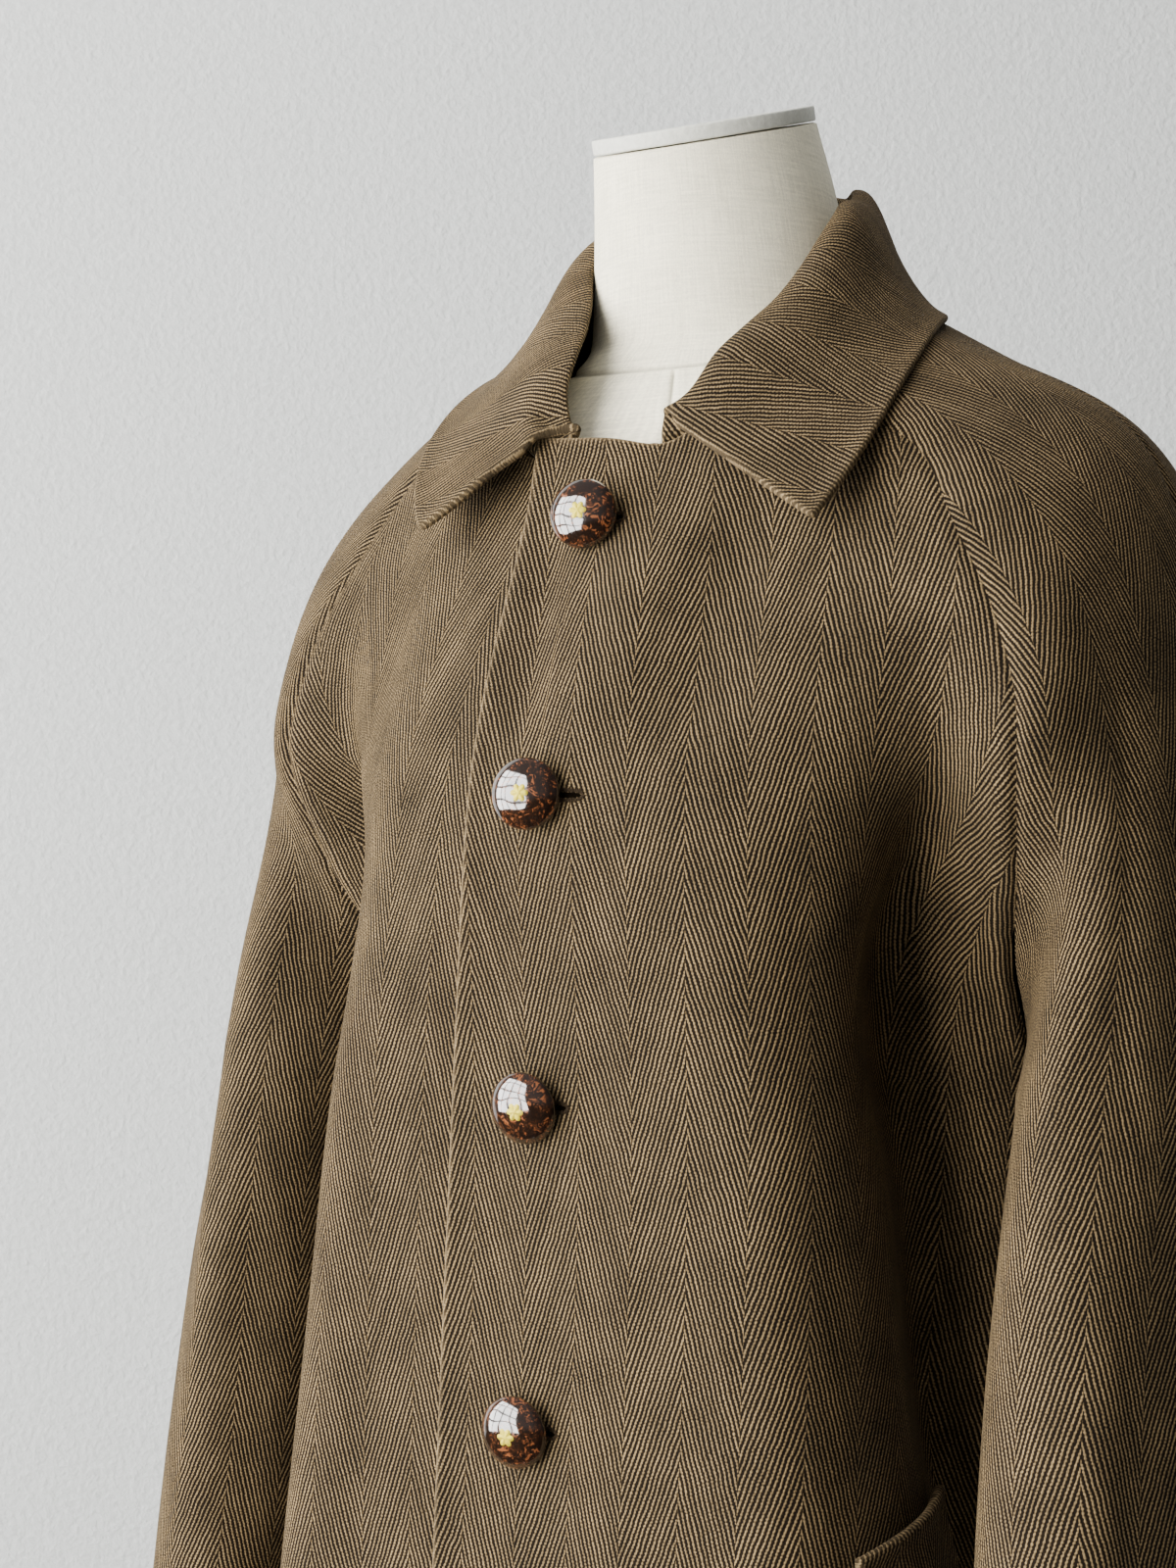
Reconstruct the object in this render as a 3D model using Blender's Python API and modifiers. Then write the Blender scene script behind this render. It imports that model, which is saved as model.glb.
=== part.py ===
"""A single-breasted raglan coat, buttoned up on a limbless dress form with a pole and a round base.

Metres, +Z up. The front of the coat faces -Y and the wearer's left is +X.
The origin lies on the floor, under the middle of the base.
"""

import math
from collections import namedtuple

import bmesh
import bpy
import numpy as np
from mathutils import Matrix, Vector
from mathutils.bvhtree import BVHTree

# Cloth walls and the gaps between pieces
CLOTH = 0.0024
COLLAR_CLOTH = 0.0030
WELT_CLOTH = 0.0030
SEAM_GAP = 0.0003
LAP_GAP = 0.0014
WELT_CLEARANCE = 0.0016
COLLAR_CLEARANCE = 0.0026
NECK_SEAM_RISE = 0.0020

# Heights of the coat
HEM_HEIGHT = 0.400
UNDERARM_HEIGHT = 1.090
CUFF_HEIGHT = 0.715
FRONT_NECK_HEIGHT = 1.357
BACK_NECK_HEIGHT = 1.447

# The left front lies on the right one up to the first length from the middle
# and comes down to it by the second
LAP_FULL = 0.050
LAP_SETTLED = 0.120

# Handle length of a curve that turns half round, as a share of its depth
HALF_ROUND = 4.0 / 3.0

# Grid sizes of the panels: worked out fine, eased along the length, and thinned for the solids
THIN = 4
SKIRT_ROWS = 14 * THIN
RAGLAN_ROWS = 12 * THIN
SLEEVE_ROWS = 11 * THIN
FRONT_COLUMNS = 14 * THIN
BACK_COLUMNS = 20 * THIN
SLEEVE_COLUMNS = 10 * THIN
COLLAR_COLUMNS = 30
EASE_ROWS = 12
EASE_SHARE = 0.5
EASE_HELD = 0.35
CURVE_STEPS = tuple(np.linspace(0.0, 1.0, 160))
HEADING_STEP = 0.014

# Body below the underarm: width at the side seam, the front's turn there and how square the sections are
Body = namedtuple("Body", "height half_width side front_turn front_middle front_seam back_full")
BODY = (
    Body(0.400, 0.226, 0.000, 80.0, 0.80, 0.92, 0.63),
    Body(0.650, 0.198, 0.000, 78.0, 0.81, 0.95, 0.65),
    Body(0.850, 0.176, -0.002, 76.0, 0.82, 0.98, 0.66),
    Body(0.950, 0.166, -0.003, 75.0, 0.83, 1.00, 0.66),
    Body(1.020, 0.160, -0.004, 74.0, 0.84, 1.00, 0.66),
    Body(1.090, 0.166, -0.005, 70.0, 0.80, 0.98, 0.66),
)

# Middle lines of the front and the back, as distances from the pole,
# and how far the fronts lap past the middle
Middle = namedtuple("Middle", "height front back lap")
MIDDLE = (
    Middle(0.400, -0.184, 0.182, 0.041),
    Middle(0.650, -0.163, 0.162, 0.041),
    Middle(0.850, -0.147, 0.146, 0.041),
    Middle(0.975, -0.1385, 0.137, 0.041),
    Middle(1.090, -0.1325, 0.131, 0.039),
    Middle(1.200, -0.1345, 0.133, 0.033),
    Middle(1.270, -0.1150, 0.132, 0.032),
    Middle(1.329, -0.0890, 0.128, 0.032),
    Middle(1.360, -0.0810, 0.122, 0.032),
    Middle(1.420, -0.0700, 0.106, 0.032),
    Middle(1.447, -0.0650, 0.094, 0.032),
)

# Raglan seams, from the neckline (share 0) to the underarm (share 1).
# The turns are the headings of the cloth across the seam, in degrees from sideways.
RAGLAN_COLUMNS = "share x y z rise body_turn sleeve_turn middle_full seam_full seam_reach top_reach"
Raglan = namedtuple("Raglan", RAGLAN_COLUMNS)
RAGLAN_FRONT = (
    Raglan(0.00, 0.055, -0.056, 1.385, 0.45, 58.0, 58.0, 1.10, 0.30, 0.020, 0.022),
    Raglan(0.20, 0.130, -0.056, 1.356, 0.42, 24.0, 24.0, 0.50, 0.42, 0.030, 0.038),
    Raglan(0.35, 0.157, -0.070, 1.319, 0.34, 17.0, 17.0, 0.46, 0.44, 0.032, 0.044),
    Raglan(0.50, 0.178, -0.078, 1.280, 0.26, 16.0, 13.0, 0.52, 0.42, 0.030, 0.044),
    Raglan(0.64, 0.188, -0.080, 1.238, 0.18, 20.0, 8.0, 0.56, 0.38, 0.031, 0.048),
    Raglan(0.80, 0.178, -0.056, 1.178, 0.10, 36.0, -8.0, 0.70, 0.44, 0.040, 0.056),
    Raglan(0.91, 0.164, -0.024, 1.131, 0.04, 56.0, -46.0, 0.84, 0.82, 0.064, 0.070),
    Raglan(1.00, 0.166, -0.005, 1.090, 0.00, 70.0, -90.0, 0.80, 0.98, 0.0827, 0.0827),
)
RAGLAN_BACK = (
    Raglan(0.00, 0.056, 0.074, 1.440, 0.20, 48.0, 48.0, 0.50, 0.42, 0.018, 0.024),
    Raglan(0.20, 0.106, 0.098, 1.396, 0.34, 30.0, 30.0, 0.46, 0.42, 0.030, 0.040),
    Raglan(0.35, 0.138, 0.110, 1.350, 0.32, 22.0, 22.0, 0.44, 0.44, 0.034, 0.050),
    Raglan(0.50, 0.160, 0.116, 1.300, 0.26, 20.0, 14.0, 0.46, 0.46, 0.036, 0.060),
    Raglan(0.64, 0.172, 0.114, 1.248, 0.18, 24.0, 6.0, 0.48, 0.48, 0.040, 0.070),
    Raglan(0.80, 0.176, 0.090, 1.180, 0.10, 42.0, -16.0, 0.54, 0.54, 0.054, 0.084),
    Raglan(0.91, 0.172, 0.048, 1.130, 0.04, 68.0, -54.0, 0.60, 0.60, 0.082, 0.098),
    Raglan(1.00, 0.166, -0.005, 1.090, 0.00, 90.0, -90.0, 0.66, 0.66, 0.104, 0.104),
)

# Overarm line of the sleeve, over the shoulder, from the neckline (share 0) to the underarm (share 1)
Overarm = namedtuple("Overarm", "share x y z")
OVERARM = (
    Overarm(0.00, 0.071, 0.019, 1.429),
    Overarm(0.14, 0.112, 0.023, 1.410),
    Overarm(0.28, 0.152, 0.025, 1.392),
    Overarm(0.40, 0.186, 0.025, 1.377),
    Overarm(0.49, 0.207, 0.023, 1.359),
    Overarm(0.58, 0.221, 0.020, 1.330),
    Overarm(0.70, 0.230, 0.015, 1.276),
    Overarm(0.85, 0.241, 0.009, 1.184),
    Overarm(1.00, 0.253, 0.004, 1.090),
)

# Sleeve rings below the underarm
Ring = namedtuple("Ring", "height inner outer middle front_depth back_depth")
RINGS = (
    Ring(0.715, 0.233, 0.300, -0.012, 0.058, 0.058),
    Ring(0.800, 0.221, 0.292, -0.008, 0.061, 0.062),
    Ring(0.900, 0.205, 0.280, -0.004, 0.064, 0.067),
    Ring(0.980, 0.193, 0.270, 0.000, 0.065, 0.072),
    Ring(1.040, 0.182, 0.261, 0.000, 0.065, 0.076),
    Ring(1.090, 0.166, 0.253, -0.005, 0.0620, 0.078),
)

# How far the front of a ring is spread, so that it lies flatter
SLEEVE_SPREAD = 0.016

# The left sleeve hangs further forward: how far its overarm and its underarm lines move, by height,
# and how far it moves in with them
Swing = namedtuple("Swing", "height overarm seam inward")
SWING = (
    Swing(0.715, -0.120, -0.118, 0.018),
    Swing(0.800, -0.109, -0.106, 0.017),
    Swing(0.900, -0.092, -0.088, 0.014),
    Swing(0.980, -0.072, -0.064, 0.009),
    Swing(1.040, -0.056, -0.036, 0.004),
    Swing(1.090, -0.041, 0.000, 0.000),
    Swing(1.140, -0.029, 0.000, 0.000),
    Swing(1.200, -0.016, 0.000, 0.000),
    Swing(1.300, 0.000, 0.000, 0.000),
)
SWING_PINNED = 0.45

# The coat sits turned on the form: how far its right shoulder moves in, back and down, by height
Settle = namedtuple("Settle", "height inward backward down")
SETTLE = (
    Settle(1.090, 0.000, 0.000, 0.000),
    Settle(1.200, 0.005, 0.006, 0.002),
    Settle(1.280, 0.008, 0.009, 0.003),
    Settle(1.340, 0.008, 0.009, 0.004),
    Settle(1.390, 0.006, 0.006, 0.004),
    Settle(1.430, 0.000, 0.000, 0.000),
)
SETTLE_START = 0.075
SETTLE_FULL = 0.180

# Largest folds, as soft ridges (depth above zero) and troughs between two ends; across is counted outward
Fold = namedtuple("Fold", "side face top_across top_height low_across low_height half_width depth")
BOTH_SIDES = 0
LEFT_SIDE = 1
RIGHT_SIDE = -1
FOLDS = (
    Fold(LEFT_SIDE, "front", 0.076, 1.352, 0.064, 1.215, 0.022, -0.0065),
    Fold(LEFT_SIDE, "front", 0.026, 1.322, 0.018, 1.205, 0.020, 0.0030),
    Fold(LEFT_SIDE, "front", 0.172, 1.325, 0.190, 1.190, 0.016, -0.0035),
    Fold(LEFT_SIDE, "front", 0.200, 1.330, 0.210, 1.060, 0.018, 0.0040),
    Fold(LEFT_SIDE, "front", 0.220, 1.380, 0.238, 1.000, 0.018, -0.0065),
    Fold(LEFT_SIDE, "front", 0.266, 1.140, 0.284, 0.780, 0.022, -0.0120),
    Fold(RIGHT_SIDE, "front", 0.206, 1.230, 0.246, 0.900, 0.018, 0.0050),
    Fold(RIGHT_SIDE, "front", 0.206, 1.040, 0.226, 0.820, 0.018, -0.0045),
    Fold(RIGHT_SIDE, "front", 0.100, 1.330, 0.124, 1.130, 0.022, -0.0050),
    Fold(BOTH_SIDES, "front", 0.112, 1.120, 0.142, 0.330, 0.024, 0.0040),
    Fold(BOTH_SIDES, "front", 0.060, 0.860, 0.066, 0.330, 0.026, -0.0070),
    Fold(BOTH_SIDES, "back", 0.052, 1.260, 0.082, 0.330, 0.030, 0.0090),
    Fold(BOTH_SIDES, "back", 0.118, 1.160, 0.150, 0.330, 0.026, -0.0100),
    Fold(BOTH_SIDES, "back", 0.214, 1.260, 0.250, 0.800, 0.018, -0.0050),
)
# Hollows down the sides, behind the corners where the flat front turns back under the arms
Hollow = namedtuple("Hollow", "top_x top_y top_height low_x low_y low_height reach depth")
HOLLOWS = (
    Hollow(0.160, -0.080, 1.330, 0.168, -0.012, 0.780, 0.038, -0.034),
    Hollow(0.150, -0.076, 1.270, 0.156, -0.060, 1.030, 0.028, -0.014),
)
# Share of the front, from its side edge, over which the hollows begin
HOLLOW_START = 0.16
FOLD_FADE = 0.34
FOLD_FACING = 1.6

# Collar, from the middle back (share 0) to the front end (share 1); the right leaf lies nearer the middle
Collar = namedtuple("Collar", "share stand lean roll edge_x edge_y edge_z lift right_in right_roll_in")
COLLAR = (
    Collar(0.00, 0.046, -0.014, 0.008, 0.000, 0.114, 1.424, 0.0045, 0.000, 0.000),
    Collar(0.22, 0.045, -0.014, 0.008, 0.055, 0.102, 1.423, 0.0045, 0.000, 0.000),
    Collar(0.42, 0.043, -0.009, 0.008, 0.095, 0.066, 1.420, 0.0045, 0.000, 0.004),
    Collar(0.56, 0.036, 0.002, 0.008, 0.110, 0.024, 1.416, 0.0050, 0.000, 0.011),
    Collar(0.70, 0.025, 0.006, 0.008, 0.119, -0.026, 1.390, 0.0060, 0.004, 0.023),
    Collar(0.84, 0.015, 0.003, 0.007, 0.118, -0.068, 1.352, 0.0080, 0.012, 0.022),
    Collar(0.94, 0.010, 0.002, 0.006, 0.114, -0.090, 1.328, 0.0100, 0.019, 0.016),
    Collar(1.00, 0.0070, 0.002, 0.005, 0.110, -0.099, 1.320, 0.0110, 0.024, 0.009),
)
LEFT_COLLAR_END = 0.034
RIGHT_COLLAR_END = 0.022
STAND_UPRIGHT = 0.6
RIGHT_FULLER = 0.012
FULLER_START = 0.40
FULLER_WHOLE = 0.62
LEAF_START = 0.6
FALL_FLARE = 0.62
FALL_DROP = 0.26
LEAF_BEND = 0.45
STAND_STEPS = (0.0, 0.45, 0.80)
FALL_STEPS = (0.0, 0.12, 0.26, 0.42, 0.58, 0.74, 0.88, 1.0)

# Pocket welts round the fronts' corners: upper rear corner, lean of the long edges, rise of the short ends
WELT_CORNER_LEFT = -0.044
WELT_CORNER_RIGHT = -0.020
WELT_CORNER_HEIGHT = 0.935
WELT_LENGTH = 0.170
WELT_WIDTH = 0.078
WELT_LEAN = 3.0
WELT_RISE = 13.0
WELT_ROWS = 11
WELT_COLUMNS = 6

# Buttons: domed, on a short shank, in a row down the middle of the left front
BUTTON_RADIUS = 0.0148
BUTTON_EDGE = 0.0026
BUTTON_DOME = 0.0062
BUTTON_SHANK_RADIUS = 0.0040
BUTTON_SHANK = 0.0022
BUTTON_STEPS = 16
Turned = namedtuple("Turned", "radius dome")
BUTTON_PROFILE = (
    Turned(0.00, 1.00),
    Turned(0.40, 0.90),
    Turned(0.75, 0.56),
    Turned(0.95, 0.16),
)
BUTTON_WIDEST = 0.6
BUTTON_BACK = 0.93
BUTTON_CLEARANCE = 0.0012
MERGE = 0.00001
Button = namedtuple("Button", "height across turn nod")
BUTTONS = (
    Button(1.3265, 0.002, 12.0, 14.0),
    Button(1.2105, 0.000, 14.0, 4.0),
    Button(1.0840, 0.000, 4.0, 9.0),
    Button(0.9535, 0.000, 4.0, 9.0),
    Button(0.8230, 0.000, 6.0, 4.0),
)

# Dress form sections, closed at the hip and at the top of the neck; the neck leans forward and its top tilts
Form = namedtuple("Form", "height half_width front back square tilt")
FORM = (
    Form(0.790, 0.134, -0.100, 0.106, 2.3, 0.0),
    Form(0.850, 0.136, -0.104, 0.112, 2.3, 0.0),
    Form(0.920, 0.130, -0.102, 0.112, 2.3, 0.0),
    Form(1.020, 0.112, -0.096, 0.100, 2.3, 0.0),
    Form(1.100, 0.110, -0.100, 0.100, 2.3, 0.0),
    Form(1.180, 0.122, -0.110, 0.106, 2.3, 0.0),
    Form(1.250, 0.156, -0.108, 0.108, 2.4, 0.0),
    Form(1.300, 0.160, -0.090, 0.106, 2.5, 0.0),
    Form(1.335, 0.156, -0.078, 0.102, 2.5, 0.0),
    Form(1.358, 0.142, -0.069, 0.098, 2.4, 0.0),
    Form(1.376, 0.120, -0.059, 0.094, 2.3, 0.0),
    Form(1.390, 0.094, -0.050, 0.091, 2.2, 0.0),
    Form(1.402, 0.072, -0.042, 0.088, 2.1, 0.0),
    Form(1.416, 0.063, -0.038, 0.085, 2.0, 0.2),
    Form(1.440, 0.059, -0.040, 0.079, 2.0, 0.5),
    Form(1.472, 0.055, -0.043, 0.070, 2.0, 0.8),
    Form(1.506, 0.050, -0.048, 0.055, 2.0, 1.0),
)
FORM_SEGMENTS = 26
FORM_ROWS = 26
NECK_TILT = 16.5
CAP_RADIUS_X = 0.0500
CAP_RADIUS_Y = 0.0530
CAP_THICKNESS = 0.0068
CAP_BEVEL = 0.0012
CAP_GAP = 0.0012
CAP_VERTICES = 40

# Stand
POLE_RADIUS = 0.016
POLE_VERTICES = 24
BASE_RADIUS = 0.200
BASE_THICKNESS = 0.016
BASE_HUB_RADIUS = 0.034
BASE_HUB_HEIGHT = 0.034
BASE_BEVEL = 0.003
BASE_STEPS = 40

SMOOTH_ANGLE = math.radians(40.0)
MIRROR = np.array([-1.0, 1.0, 1.0])
# Panels share one normal at a seam unless the cloth folds back on itself there;
# folds die out near such a crease, over a share of the row and over some rows
SAME_SIDE = 0.5
CREASE_SHARP = -0.2
CREASE_SMOOTH = 0.9
CREASE_REACH = 0.5
CREASE_ROW_STEP = 0.055
# Levels below the underarm over which the overarm line comes to the middle of the sleeve
LEAD_LEVELS = 0.3

# Colours
TWEED = (0.20, 0.145, 0.085)
HORN = (0.03, 0.014, 0.008)
LINEN = (0.72, 0.66, 0.56)
CAP_PAINT = (0.80, 0.78, 0.72)
STEEL = (0.30, 0.30, 0.31)


def smooth(table, name, at):
    """One column of a table at places counted in its first column, without overshoot."""
    keys = np.array([row[0] for row in table])
    values = np.array([getattr(row, name) for row in table])
    gaps = np.diff(keys)
    slopes = np.diff(values) / gaps
    bends = np.zeros(len(keys))
    bends[0] = slopes[0]
    bends[-1] = slopes[-1]
    for i in range(1, len(keys) - 1):
        if slopes[i - 1] * slopes[i] > 0.0:
            before = 2.0 * gaps[i] + gaps[i - 1]
            after = gaps[i] + 2.0 * gaps[i - 1]
            bends[i] = (before + after) / (before / slopes[i - 1] + after / slopes[i])
    at = np.clip(np.asarray(at, dtype=float), keys[0], keys[-1])
    i = np.clip(np.searchsorted(keys, at) - 1, 0, len(gaps) - 1)
    t = (at - keys[i]) / gaps[i]
    start = (1.0 + 2.0 * t) * (1.0 - t) ** 2 * values[i] + t * (1.0 - t) ** 2 * gaps[i] * bends[i]
    end = t ** 2 * (3.0 - 2.0 * t) * values[i + 1] + t ** 2 * (t - 1.0) * gaps[i] * bends[i + 1]
    return start + end


def ease(low, high, value):
    t = np.clip((value - low) / (high - low), 0.0, 1.0)
    return t * t * (3.0 - 2.0 * t)


def bezier(points, steps):
    """Samples of a cubic curve through four control points, at the given shares of it."""
    t = np.array(steps)[:, None]
    a, b, c, d = (np.asarray(point, dtype=float) for point in points)
    return a * (1 - t) ** 3 + 3 * b * t * (1 - t) ** 2 + 3 * c * t ** 2 * (1 - t) + d * t ** 3


def lengths(curve):
    return np.concatenate(([0.0], np.cumsum(np.linalg.norm(np.diff(curve, axis=0), axis=1))))


def at_lengths(curve, places):
    run = lengths(curve)
    return np.stack([np.interp(places, run, curve[:, axis]) for axis in range(3)], axis=1)


def seam_point(table, share):
    return np.array([float(smooth(table, axis, share)) for axis in "xyz"])


def body_curve(level, face):
    """Half of a body row, middle line to seam, over levels 0 (hem), 1 (underarm) and 2 (neckline)."""
    table = RAGLAN_FRONT if face == "front" else RAGLAN_BACK
    backward = 1.0 if face == "front" else -1.0
    neck_height = FRONT_NECK_HEIGHT if face == "front" else BACK_NECK_HEIGHT
    if level <= 1.0:
        height = HEM_HEIGHT + (UNDERARM_HEIGHT - HEM_HEIGHT) * level
        half_width = float(smooth(BODY, "half_width", height))
        end = np.array([half_width, float(smooth(BODY, "side", height)), height])
        heading = np.array([0.0, backward, 0.0])
        if face == "front":
            turn = np.radians(smooth(BODY, "front_turn", height))
            heading = np.array((np.cos(turn), np.sin(turn), 0.0))
            middle_full = float(smooth(BODY, "front_middle", height))
            seam_full = float(smooth(BODY, "front_seam", height))
        else:
            middle_full = float(smooth(BODY, "back_full", height))
            seam_full = middle_full
    else:
        share = 2.0 - level
        end = seam_point(table, share)
        climbed = (end[2] - UNDERARM_HEIGHT) / (table[0].z - UNDERARM_HEIGHT)
        height = UNDERARM_HEIGHT + (neck_height - UNDERARM_HEIGHT) * climbed
        turn = math.radians(float(smooth(table, "body_turn", share)))
        rise = float(smooth(table, "rise", share))
        heading = np.array([math.cos(turn), backward * math.sin(turn), rise])
        middle_full = float(smooth(table, "middle_full", share))
        seam_full = float(smooth(table, "seam_full", share))
    start = np.array([0.0, float(smooth(MIDDLE, face, height)), height])
    first = start + np.array([middle_full * (end[0] - start[0]), 0.0, 0.0])
    flat = heading[:2] / np.linalg.norm(heading[:2])
    last = end - heading * seam_full * float(np.dot(end[:2] - start[:2], flat))
    return bezier((start, first, last, end), CURVE_STEPS)


def row_lap(level):
    """How far a front row runs past the middle line."""
    return float(smooth(MIDDLE, "lap", body_curve(level, "front")[0, 2]))


def body_row(level, face, places):
    """Points of a body row at lengths counted from the middle line, mirrored past it."""
    curve = body_curve(level, face)
    row = at_lengths(curve, np.abs(places))
    row[:, 0] *= np.where(places < 0.0, -1.0, 1.0)
    return row


def sleeve_curve(level, face):
    """Half of a sleeve row, overarm line to seam, over levels 0 (neckline), 1 (underarm), 2 (cuff)."""
    table = RAGLAN_FRONT if face == "front" else RAGLAN_BACK
    backward = 1.0 if face == "front" else -1.0
    spread = 0.0
    if level <= 1.0:
        seam = seam_point(table, level)
        top = seam_point(OVERARM, level)
        turn = math.radians(float(smooth(table, "sleeve_turn", level)))
        rise = float(smooth(table, "rise", level))
        heading = np.array([math.cos(turn), backward * math.sin(turn), rise])
        seam_reach = float(smooth(table, "seam_reach", level))
        top_reach = float(smooth(table, "top_reach", level))
    else:
        height = UNDERARM_HEIGHT + (CUFF_HEIGHT - UNDERARM_HEIGHT) * (level - 1.0)
        middle = float(smooth(RINGS, "middle", height))
        settle = OVERARM[-1].y - RINGS[-1].middle
        lead = settle * (1.0 - ease(0.0, LEAD_LEVELS, level - 1.0))
        seam = np.array([float(smooth(RINGS, "inner", height)), middle, height])
        top = np.array([float(smooth(RINGS, "outer", height)), middle + lead, height])
        heading = np.array([0.0, -backward, 0.0])
        depth = float(smooth(RINGS, face + "_depth", height))
        seam_reach = HALF_ROUND * depth
        top_reach = HALF_ROUND * depth
        if face == "front":
            spread = SLEEVE_SPREAD * ease(0.0, LEAD_LEVELS, level - 1.0)
    last = seam + heading * seam_reach - np.array([spread, 0.0, 0.0])
    first = top + np.array([spread, -backward * top_reach, 0.0])
    return bezier((top, first, last, seam), CURVE_STEPS)


def sleeve_row(level, face, side, columns):
    curve = sleeve_curve(level, face)
    row = at_lengths(curve, np.linspace(0.0, lengths(curve)[-1], columns + 1))
    if side == LEFT_SIDE:
        shares = np.linspace(0.0, 1.0, columns + 1)
        top = float(smooth(SWING, "overarm", row[0, 2]))
        seam = float(smooth(SWING, "seam", row[-1, 2]))
        row[:, 0] -= float(smooth(SWING, "inward", row[-1, 2]))
        row[:, 1] += top + (seam - top) * ease(SWING_PINNED, 1.0, shares)
    return row


def body_levels():
    skirt = np.linspace(0.0, 1.0, SKIRT_ROWS + 1)
    raglan = 2.0 - np.linspace(1.0, 0.0, RAGLAN_ROWS + 1)[1:]
    return np.concatenate((skirt, raglan))


def sleeve_levels():
    raglan = np.linspace(0.0, 1.0, RAGLAN_ROWS + 1)
    hanging = 1.0 + np.linspace(0.0, 1.0, SLEEVE_ROWS + 1)[1:]
    return np.concatenate((raglan, hanging))


def front_grid():
    """Left front as rows from the hem up and columns from the front edge to the seam, and their lengths."""
    rows = []
    spots = []
    for level in body_levels():
        whole = lengths(body_curve(level, "front"))[-1]
        places = np.linspace(-row_lap(level), whole, FRONT_COLUMNS + 1)
        rows.append(body_row(level, "front", places))
        spots.append(places)
    return np.array(rows), np.array(spots)


def back_grid():
    rows = []
    for level in body_levels():
        whole = lengths(body_curve(level, "back"))[-1]
        rows.append(body_row(level, "back", np.linspace(-whole, whole, BACK_COLUMNS + 1)))
    return np.array(rows)


def sleeve_grid(face, side):
    return np.array([sleeve_row(level, face, side, SLEEVE_COLUMNS) for level in sleeve_levels()])


def eased(grid, first_held, last_held):
    """Rows evened out along the length of a piece, less and less toward the edges that are held."""
    steps = np.arange(-EASE_ROWS, EASE_ROWS + 1)
    weights = np.exp(-(steps / (EASE_SHARE * EASE_ROWS)) ** 2)
    weights = weights / weights.sum()
    before = 2.0 * grid[:1] - grid[EASE_ROWS:0:-1]
    after = 2.0 * grid[-1:] - grid[-2:-EASE_ROWS - 2:-1]
    longer = np.concatenate((before, grid, after))
    even = sum(weight * longer[k:k + len(grid)] for k, weight in enumerate(weights))
    shares = np.linspace(0.0, 1.0, grid.shape[1])
    amount = np.ones(grid.shape[1])
    if first_held:
        amount = amount * ease(0.0, EASE_HELD, shares)
    if last_held:
        amount = amount * ease(0.0, EASE_HELD, 1.0 - shares)
    return grid + (even - grid) * amount[None, :, None]


def settled(grid):
    """Points of the coat with its right shoulder moved in, back and down."""
    heights = grid[..., 2]
    amount = ease(SETTLE_START, SETTLE_FULL, -grid[..., 0])
    inward = smooth(SETTLE, "inward", heights)
    backward = smooth(SETTLE, "backward", heights)
    down = smooth(SETTLE, "down", heights)
    return grid + np.stack((inward, backward, -down), axis=-1) * amount[..., None]


def grid_normals(grid, outward):
    """Unit normals of a grid of points; outward is 1 or -1 to turn them out of the coat."""
    across = np.gradient(grid, axis=1)
    along = np.gradient(grid, axis=0)
    normals = np.cross(across, along) * outward
    return normals / np.linalg.norm(normals, axis=2, keepdims=True)


class Panel:
    """One cut piece: its outer points, which way is out, and the edges that are sewn to others."""

    def __init__(self, name, grid, outward, sewn, lift=None, hollow=None):
        self.name = name
        self.grid = grid
        self.outward = outward
        self.sewn = sewn
        self.lift = lift
        self.hollow = hollow
        self.normals = grid_normals(grid, outward)
        self.flat = np.ones(grid.shape[:2])

    def thin(self):
        """Keep every few rows and columns, with their edges."""
        self.grid = self.grid[::THIN, ::THIN]
        self.normals = self.normals[::THIN, ::THIN]
        self.flat = self.flat[::THIN, ::THIN]


def share_normals(panels):
    """Give sewn points of neighbouring panels one normal, and mark how far the cloth folds back there."""
    meeting = {}
    for panel in panels:
        panel.normals = grid_normals(panel.grid, panel.outward)
        panel.flat = np.ones(panel.grid.shape[:2])
        rows, columns = panel.grid.shape[:2]
        for i in range(rows):
            for j in range(columns):
                if i in (0, rows - 1) or j in (0, columns - 1):
                    key = tuple(np.round(panel.grid[i, j], 5))
                    meeting.setdefault(key, []).append((panel, i, j, panel.normals[i, j].copy()))
    for group in meeting.values():
        for panel, i, j, own in group:
            dots = [float(np.dot(own, other[3])) for other in group]
            joined = sum(other[3] for other, dot in zip(group, dots) if dot > SAME_SIDE)
            panel.normals[i, j] = joined / np.linalg.norm(joined)
            panel.flat[i, j] = float(ease(CREASE_SHARP, CREASE_SMOOTH, min(dots)))
    for panel in panels:
        columns = panel.grid.shape[1]
        spots = np.arange(columns) / (columns - 1.0)
        edge_flat = panel.flat.copy()
        for i in range(1, len(edge_flat)):
            edge_flat[i] = np.minimum(edge_flat[i], edge_flat[i - 1] + CREASE_ROW_STEP)
        for i in range(len(edge_flat) - 2, -1, -1):
            edge_flat[i] = np.minimum(edge_flat[i], edge_flat[i + 1] + CREASE_ROW_STEP)
        for edge, away in ((edge_flat[:, :1], spots), (edge_flat[:, -1:], 1.0 - spots)):
            calm = edge + (1.0 - edge) * ease(0.0, CREASE_REACH, away)[None, :]
            panel.flat = np.minimum(panel.flat, calm)


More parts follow.
